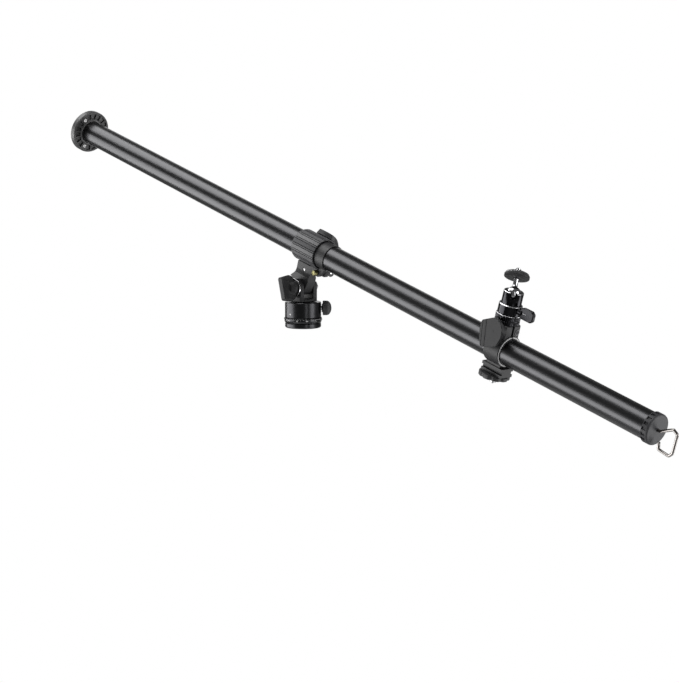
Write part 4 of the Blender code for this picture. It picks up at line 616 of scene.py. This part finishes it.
def head_housing():
    """The glossy housing with bright cut edges, the knurled ring at its foot, the lock screw and its wing."""
    refined("ball_body", 0.00012, HEAD_BLACK, 2, (BRIGHT_EDGE, HEAD, 0.0094))
    low, high = LOCK_RING_ENDS
    waist = LOCK_RING_R - 0.0005
    profile = [(LOCK_RING_BORE, low), (0.0123, low), (LOCK_RING_R, low + 0.0004)]
    profile += [(LOCK_RING_R, low + 0.0034), (waist, low + 0.0038), (waist, low + 0.0044)]
    profile += [(LOCK_RING_R, low + 0.0048), (LOCK_RING_R, high - 0.0006)]
    profile += [(LOCK_RING_R - 0.0006, high), (LOCK_RING_BORE, high)]
    mesh = turned(profile, 288)
    cut_round(mesh, LOCK_RING_R - 0.0003, flutes(*LOCK_RING_KNURL))
    mark_edges(mesh, Matrix(), LOCK_RING_R - 0.0011)
    for face in mesh.faces:
        if face.calc_center_median().z < high - 0.0007:
            face.material_index = 0
    stand_in("foot_lock_ring", mesh, HEAD, HEAD_BLACK, 30, BRIGHT_EDGE)
    low, high = WING_SCREW_ENDS
    threaded_stud("wing_screw", WING, WING_SCREW_R, WING_SCREW_PITCH, low, high, 0.0004, 0.0022, 0.023)
    refined("wing_knob", 0.0006, BLADE_BLACK, 4)


def paddle():
    """The flat lever with two grooves near its long end and a small raised arrow."""
    place = RING @ shift(*PADDLE_PLACE)
    mesh = solid_copy("paddle_lever")
    mesh.transform(place.inverted())
    bmesh.ops.remove_doubles(mesh, verts=mesh.verts, dist=0.000002)
    lean = Vector((1, 0, PADDLE_GROOVE_LEAN)).normalized()
    half = PADDLE_GROOVE_W / 2
    for along in PADDLE_GROOVES:
        for side in (-half, half):
            everything = list(mesh.verts) + list(mesh.edges) + list(mesh.faces)
            point = (along + side, 0, 0)
            bmesh.ops.bisect_plane(mesh, geom=everything, plane_co=point, plane_no=lean, dist=0.000001)
        mesh.normal_update()
        strip = []
        for face in mesh.faces:
            centre = face.calc_center_median()
            across = abs((centre - Vector((along, 0, 0))).dot(lean))
            if across < half and face.normal.y < -0.9 and centre.y < -0.02:
                strip.append(face)
        depth = -PADDLE_GROOVE_DEPTH
        bmesh.ops.inset_region(mesh, faces=strip, thickness=0.0001, depth=depth, use_even_offset=True)
    rounded(stand_in("paddle_lever", mesh, place, SMOOTH_PLASTIC), 0.0003, 3)
    arrow = turned([(0.001, 0), (0.0017, 0), (0.0017, 0.0003), (0.001, 0.0003)], 3)
    arrow.transform(place @ shift(*PADDLE_ARROW_PLACE) @ turn(90, "X") @ turn(-30, "Z"))
    piece_from("paddle_arrow", arrow, SMOOTH_PLASTIC, BODY_OF["paddle_lever"])


def tilt_knob():
    """The wing knob of the tilt joint, its two flat sides dished for the fingers."""
    mesh = solid_copy("tilt_knob")
    side = KNOB.to_3x3() @ Vector((1, 0, 0))
    mesh.normal_update()
    flats = [face for face in mesh.faces if abs(face.normal.dot(side)) > 0.99 and face.calc_area() > 0.00003]
    bmesh.ops.inset_individual(mesh, faces=flats, thickness=0.0011, depth=-0.0006, use_even_offset=True)
    rounded(stand_in("tilt_knob", mesh, Matrix(), SMOOTH_PLASTIC), 0.0005, 3)


def ear_barrel():
    """The round end of the clamp's barrel nut in its far ear, its shallow middle painted dark as the painted
    shade of a deep socket.
    """
    profile = [(0, -0.0003), (EAR_BARREL_R, -0.0003), (EAR_BARREL_R, 0.0004)]
    profile += [(EAR_BARREL_R - 0.0002, 0.0006), (0.0022, 0.0006), (0, 0.0002)]
    mesh = turned(profile, 40)
    # The shallow middle takes the darker fork paint: painted shade standing for a deep socket
    for face in mesh.faces:
        if face.calc_center_median().xy.length < 0.0021:
            face.material_index = 1
    mesh.transform(RING @ shift(*EAR_BARREL_PLACE) @ turn(90, "Y"))
    piece = piece_from("ear_barrel_end", mesh, GLOSS_PAINT, BODY_OF["accessory_ring"])
    piece.data.materials.append(YOKE_PAINT)


def thumb_disc():
    """The lobed disc under the clamp and the thread of its stud."""
    low, high = THUMB_ENDS
    profile = [(THUMB_BORE, low), (THUMB_R - 0.0012, low), (THUMB_R - 0.0006, low + 0.0002)]
    profile += [(THUMB_R, low + 0.0009), (THUMB_R, high - 0.0009), (THUMB_R - 0.0006, high - 0.0002)]
    profile += [(THUMB_R - 0.0012, high), (THUMB_BORE, high)]
    mesh = turned(profile, 270)
    cut_round(mesh, 0.0139, lobes(THUMB_LOBES, THUMB_LOBE_DEPTH))
    stand_in("thumb_disc", mesh, HEAD, RUBBER, 40)
    low, high = PLATE_STUD_ENDS
    threaded_stud("plate_stud", HEAD, QUARTER_R, QUARTER_PITCH, low, high, 0.0009, -0.0373, -0.0318)


def bent_wire():
    """The hook's wire along its route, with soft bends."""
    route = [Vector((along, 0, up)) for along, up in HOOK_ROUTE]
    points = [route[0]]
    for before, corner, after in zip(route, route[1:], route[2:]):
        for other in (before, after):
            reach = min(HOOK_BEND, 0.45 * (other - corner).length)
            points.append(corner + (other - corner).normalized() * reach)
            if other is before:
                points.append(corner)
    points.append(route[-1])
    wire = bpy.data.curves.new("hook_wire", "CURVE")
    wire.dimensions = "3D"
    wire.bevel_depth = HOOK_WIRE_R
    wire.bevel_resolution = 6
    wire.use_fill_caps = True
    line = wire.splines.new("NURBS")
    line.points.add(len(points) - 1)
    for point, place in zip(line.points, points):
        point.co = (*place, 1)
    line.order_u = 3
    line.resolution_u = 6
    line.use_endpoint_u = True
    holder = bpy.data.objects.new("hook_wire", wire)
    shape = bpy.data.meshes.new_from_object(holder)
    mesh = bmesh.new()
    mesh.from_mesh(shape)
    bpy.data.objects.remove(holder)
    bpy.data.meshes.remove(shape)
    bmesh.ops.remove_doubles(mesh, verts=mesh.verts, dist=0.000001)
    wide = HOOK_HEAD_R
    made = bmesh.ops.create_cone(
        mesh, cap_ends=True, segments=32, radius1=wide, radius2=wide, depth=HOOK_HEAD_T
    )
    bmesh.ops.rotate(mesh, cent=(0, 0, 0), matrix=turn(90, "Y").to_3x3(), verts=made["verts"])
    bmesh.ops.translate(mesh, vec=(HOOK_HEAD_PLACE, 0, 0), verts=made["verts"])
    bmesh.ops.recalc_face_normals(mesh, faces=mesh.faces)
    stand_in("hook", mesh, ARM @ shift(CAP_PLACE, 0, 0), HOOK_STEEL, 40)


def flange():
    """The flange with its pockets, a painted highlight on the front edge of its tube seat, and its stud."""
    mesh = solid_copy("flange_plate")
    mesh.transform(ALONG.inverted())
    mesh.normal_update()
    # The seat ring's front face takes the pale second finish: a painted highlight
    for face in mesh.faces:
        if face.normal.z > 0.9 and face.calc_center_median().z > FLANGE_FACE + FLANGE_LIP:
            face.material_index = 1
    rounded(stand_in("flange_plate", mesh, ALONG, FLANGE_PAINT, 32, PAINTED_SEAT_HIGHLIGHT), 0.0002)
    start = FLANGE_BACK - FLANGE_STUD_OUT
    ends = (start - 0.0004, FLANGE_STUD_IN, 0.0008, start, FLANGE_BACK - 0.0002)
    threaded_stud("flange_stud", ALONG, FLANGE_STUD_R, FLANGE_PITCH, *ends)


def end_cap():
    """The cap with grip notches round its side, between its back edge and its front lip."""
    edge = CAP_R - 0.0014
    back = -CAP_LENGTH
    profile = [(CAP_BORE, CAP_SPIGOT_END), (CAP_SPIGOT_R - 0.0003, CAP_SPIGOT_END)]
    profile += [(CAP_SPIGOT_R, CAP_SPIGOT_END + 0.0003), (CAP_SPIGOT_R, back), (CAP_R - 0.0003, back)]
    profile += [(CAP_R, -0.0077), (CAP_R, -0.0072), (CAP_R, -0.007), (CAP_R, -0.0026), (CAP_R, -0.0024)]
    profile += [(CAP_R, -0.0015), (CAP_R - 0.0004, -0.0005), (edge, 0), (CAP_BORE, 0)]
    steps = CAP_NOTCHES * CAP_STEPS
    mesh = turned(profile, steps)
    low, high = CAP_NOTCH_ENDS
    for point in mesh.verts:
        place = round(math.atan2(point.co.y, point.co.x) * steps / math.tau) % CAP_STEPS
        if low < point.co.z < high and point.co.xy.length > edge and place < CAP_STEPS / 2:
            point.co.xy *= 1 - CAP_NOTCH_DEPTH / CAP_R
    stand_in("end_cap", mesh, CAP, CAP_RUBBER, 25)


def clamp_lever():
    """The cam lever, its blade thickened towards the collar."""
    mesh = solid_copy("clamp_lever")
    mesh.transform(ALONG.inverted())
    for point in mesh.verts:
        radius = point.co.xy.length
        if abs(radius - LEVER_IN_R) < 0.0003 and -point.co.x > LEVER_RIB_LOW:
            point.co.xy *= LEVER_RIB_R / radius
    rounded(stand_in("clamp_lever", mesh, ALONG, LEVER_PLASTIC), 0.0005)


def neck_pin():
    """The bright end of the pin in the neck's small hole."""
    mesh = turned([(0, -0.0003), (0.0016, -0.0003), (0.0016, 0.0001), (0.0013, 0.0003), (0, 0.0003)], 32)
    mesh.transform(TILT @ shift(*NECK_PIN_PLACE) @ turn(90, "X"))
    piece_from("neck_pin_end", mesh, SCREW_ZINC, BODY_OF["arm_holder"])


def bush_thread():
    """The thread inside the brass bush in the base."""
    mesh = bmesh.new()
    screw_thread(mesh, BUSH_CREST, BUSH_ROOT, BUSH_PITCH, *BUSH_ENDS)
    piece_from("bush_thread", mesh, BRASS, BODY_OF["thread_bush"])


def dressed_solids():
    """The pieces that keep their solid's shape, with rounded edges and their own finish."""
    for name in nodes:
        if name not in dressed:
            refined(name, EDGE_OF.get(name, EDGE), COAT_OF.get(name))


def board(name, direction, distance, along, long_side, short_side, power):
    """A soft lamp aimed at the arm from a direction, its long side laid along a line."""
    lamp = bpy.data.lights.new(name, "AREA")
    lamp.shape = "RECTANGLE"
    lamp.size = long_side
    lamp.size_y = short_side
    lamp.energy = power
    back = Vector(direction).normalized()
    side = Vector(along)
    side = (side - back * side.dot(back)).normalized()
    up = back.cross(side)
    place = Matrix((side, up, back)).transposed().to_4x4()
    place.translation = MIDDLE + side * LAMP_SHIFT + back * distance
    holder = bpy.data.objects.new(name, lamp)
    holder.matrix_world = place
    holder.visible_camera = False
    bpy.context.scene.collection.objects.link(holder)


def plain_sheet(name, corners, material):
    """A flat sheet of the studio from its four corners."""
    mesh = bmesh.new()
    mesh.faces.new([mesh.verts.new(corner) for corner in corners])
    data = bpy.data.meshes.new(name)
    mesh.to_mesh(data)
    mesh.free()
    sheet = bpy.data.objects.new(name, data)
    bpy.context.scene.collection.objects.link(sheet)
    sheet.data.materials.append(material)


def pale_paper():
    """Pale matt paper for the floor."""
    material = bpy.data.materials.new("pale_floor_paper")
    material.use_nodes = True
    shader = material.node_tree.nodes["Principled BSDF"]
    shader.inputs["Base Color"].default_value = (0.88, 0.88, 0.88, 1)
    shader.inputs["Roughness"].default_value = 0.9
    return material


def white_backdrop():
    """Pale paper that is plain white where the view, a gloss or a clear piece looks at it."""
    material = pale_paper()
    material.name = "white_backdrop_paper"
    tree = material.node_tree
    path = tree.nodes.new("ShaderNodeLightPath")
    seen = path.outputs["Is Camera Ray"]
    for kind in ("Is Glossy Ray", "Is Transmission Ray"):
        either = tree.nodes.new("ShaderNodeMath")
        either.operation = "MAXIMUM"
        tree.links.new(seen, either.inputs[0])
        tree.links.new(path.outputs[kind], either.inputs[1])
        seen = either.outputs[0]
    white = tree.nodes.new("ShaderNodeEmission")
    white.inputs["Color"].default_value = (1, 1, 1, 1)
    white.inputs["Strength"].default_value = 1
    mix = tree.nodes.new("ShaderNodeMixShader")
    tree.links.new(seen, mix.inputs["Fac"])
    tree.links.new(tree.nodes["Principled BSDF"].outputs[0], mix.inputs[1])
    tree.links.new(white.outputs[0], mix.inputs[2])
    tree.links.new(mix.outputs[0], tree.nodes["Material Output"].inputs["Surface"])
    return material


def stage_and_light():
    """The pale floor and backdrop, the soft room light, the studio lamps and the camera."""
    side = FLOOR_SIZE
    floor = [(-side, -side, FLOOR_Z), (side, -side, FLOOR_Z), (side, side, FLOOR_Z), (-side, side, FLOOR_Z)]
    plain_sheet("floor", floor, pale_paper())
    facing = turn(VIEW_TURN, "Z")
    wide = BACKDROP_HALF
    back = [(-wide, BACKDROP_AWAY, FLOOR_Z), (wide, BACKDROP_AWAY, FLOOR_Z)]
    back += [(wide, BACKDROP_AWAY, BACKDROP_TOP), (-wide, BACKDROP_AWAY, BACKDROP_TOP)]
    plain_sheet("backdrop", [facing @ Vector(corner) for corner in back], white_backdrop())

    world = bpy.data.worlds.new("soft_room")
    bpy.context.scene.world = world
    world.use_nodes = True
    room = world.node_tree.nodes["Background"]
    room.inputs["Color"].default_value = (1, 1, 1, 1)
    room.inputs["Strength"].default_value = ROOM_LIGHT

    slope = turn(ARM_SLOPE, "Y").to_3x3() @ Vector((1, 0, 0))
    for name, direction, distance, laid, long_side, short_side, power in LAMPS:
        board(name, direction, distance, slope if laid else (0, 0, 1), long_side, short_side, power)

    eye = bpy.data.cameras.new("eye")
    eye.sensor_fit = "HORIZONTAL"
    eye.sensor_width = EYE_SENSOR
    eye.lens = EYE_LENS
    holder = bpy.data.objects.new("eye", eye)
    holder.location = EYE_PLACE
    holder.rotation_euler = (math.radians(90 - VIEW_DROP), 0, math.radians(VIEW_TURN))
    bpy.context.scene.collection.objects.link(holder)
    bpy.context.scene.camera = holder
    bpy.context.scene.view_settings.view_transform = "Standard"


def main():
    arm_tube()
    twist_collar()
    clamp_nut()
    pan_lock_knob()
    scale_marks()
    bush_thread()
    flange()
    end_cap()
    clamp_lever()
    neck_pin()
    bent_wire()
    paddle()
    tilt_knob()
    ear_barrel()
    thumb_disc()
    head_housing()
    ball_and_stem()
    top_disc()
    dressed_solids()
    stage_and_light()


main()
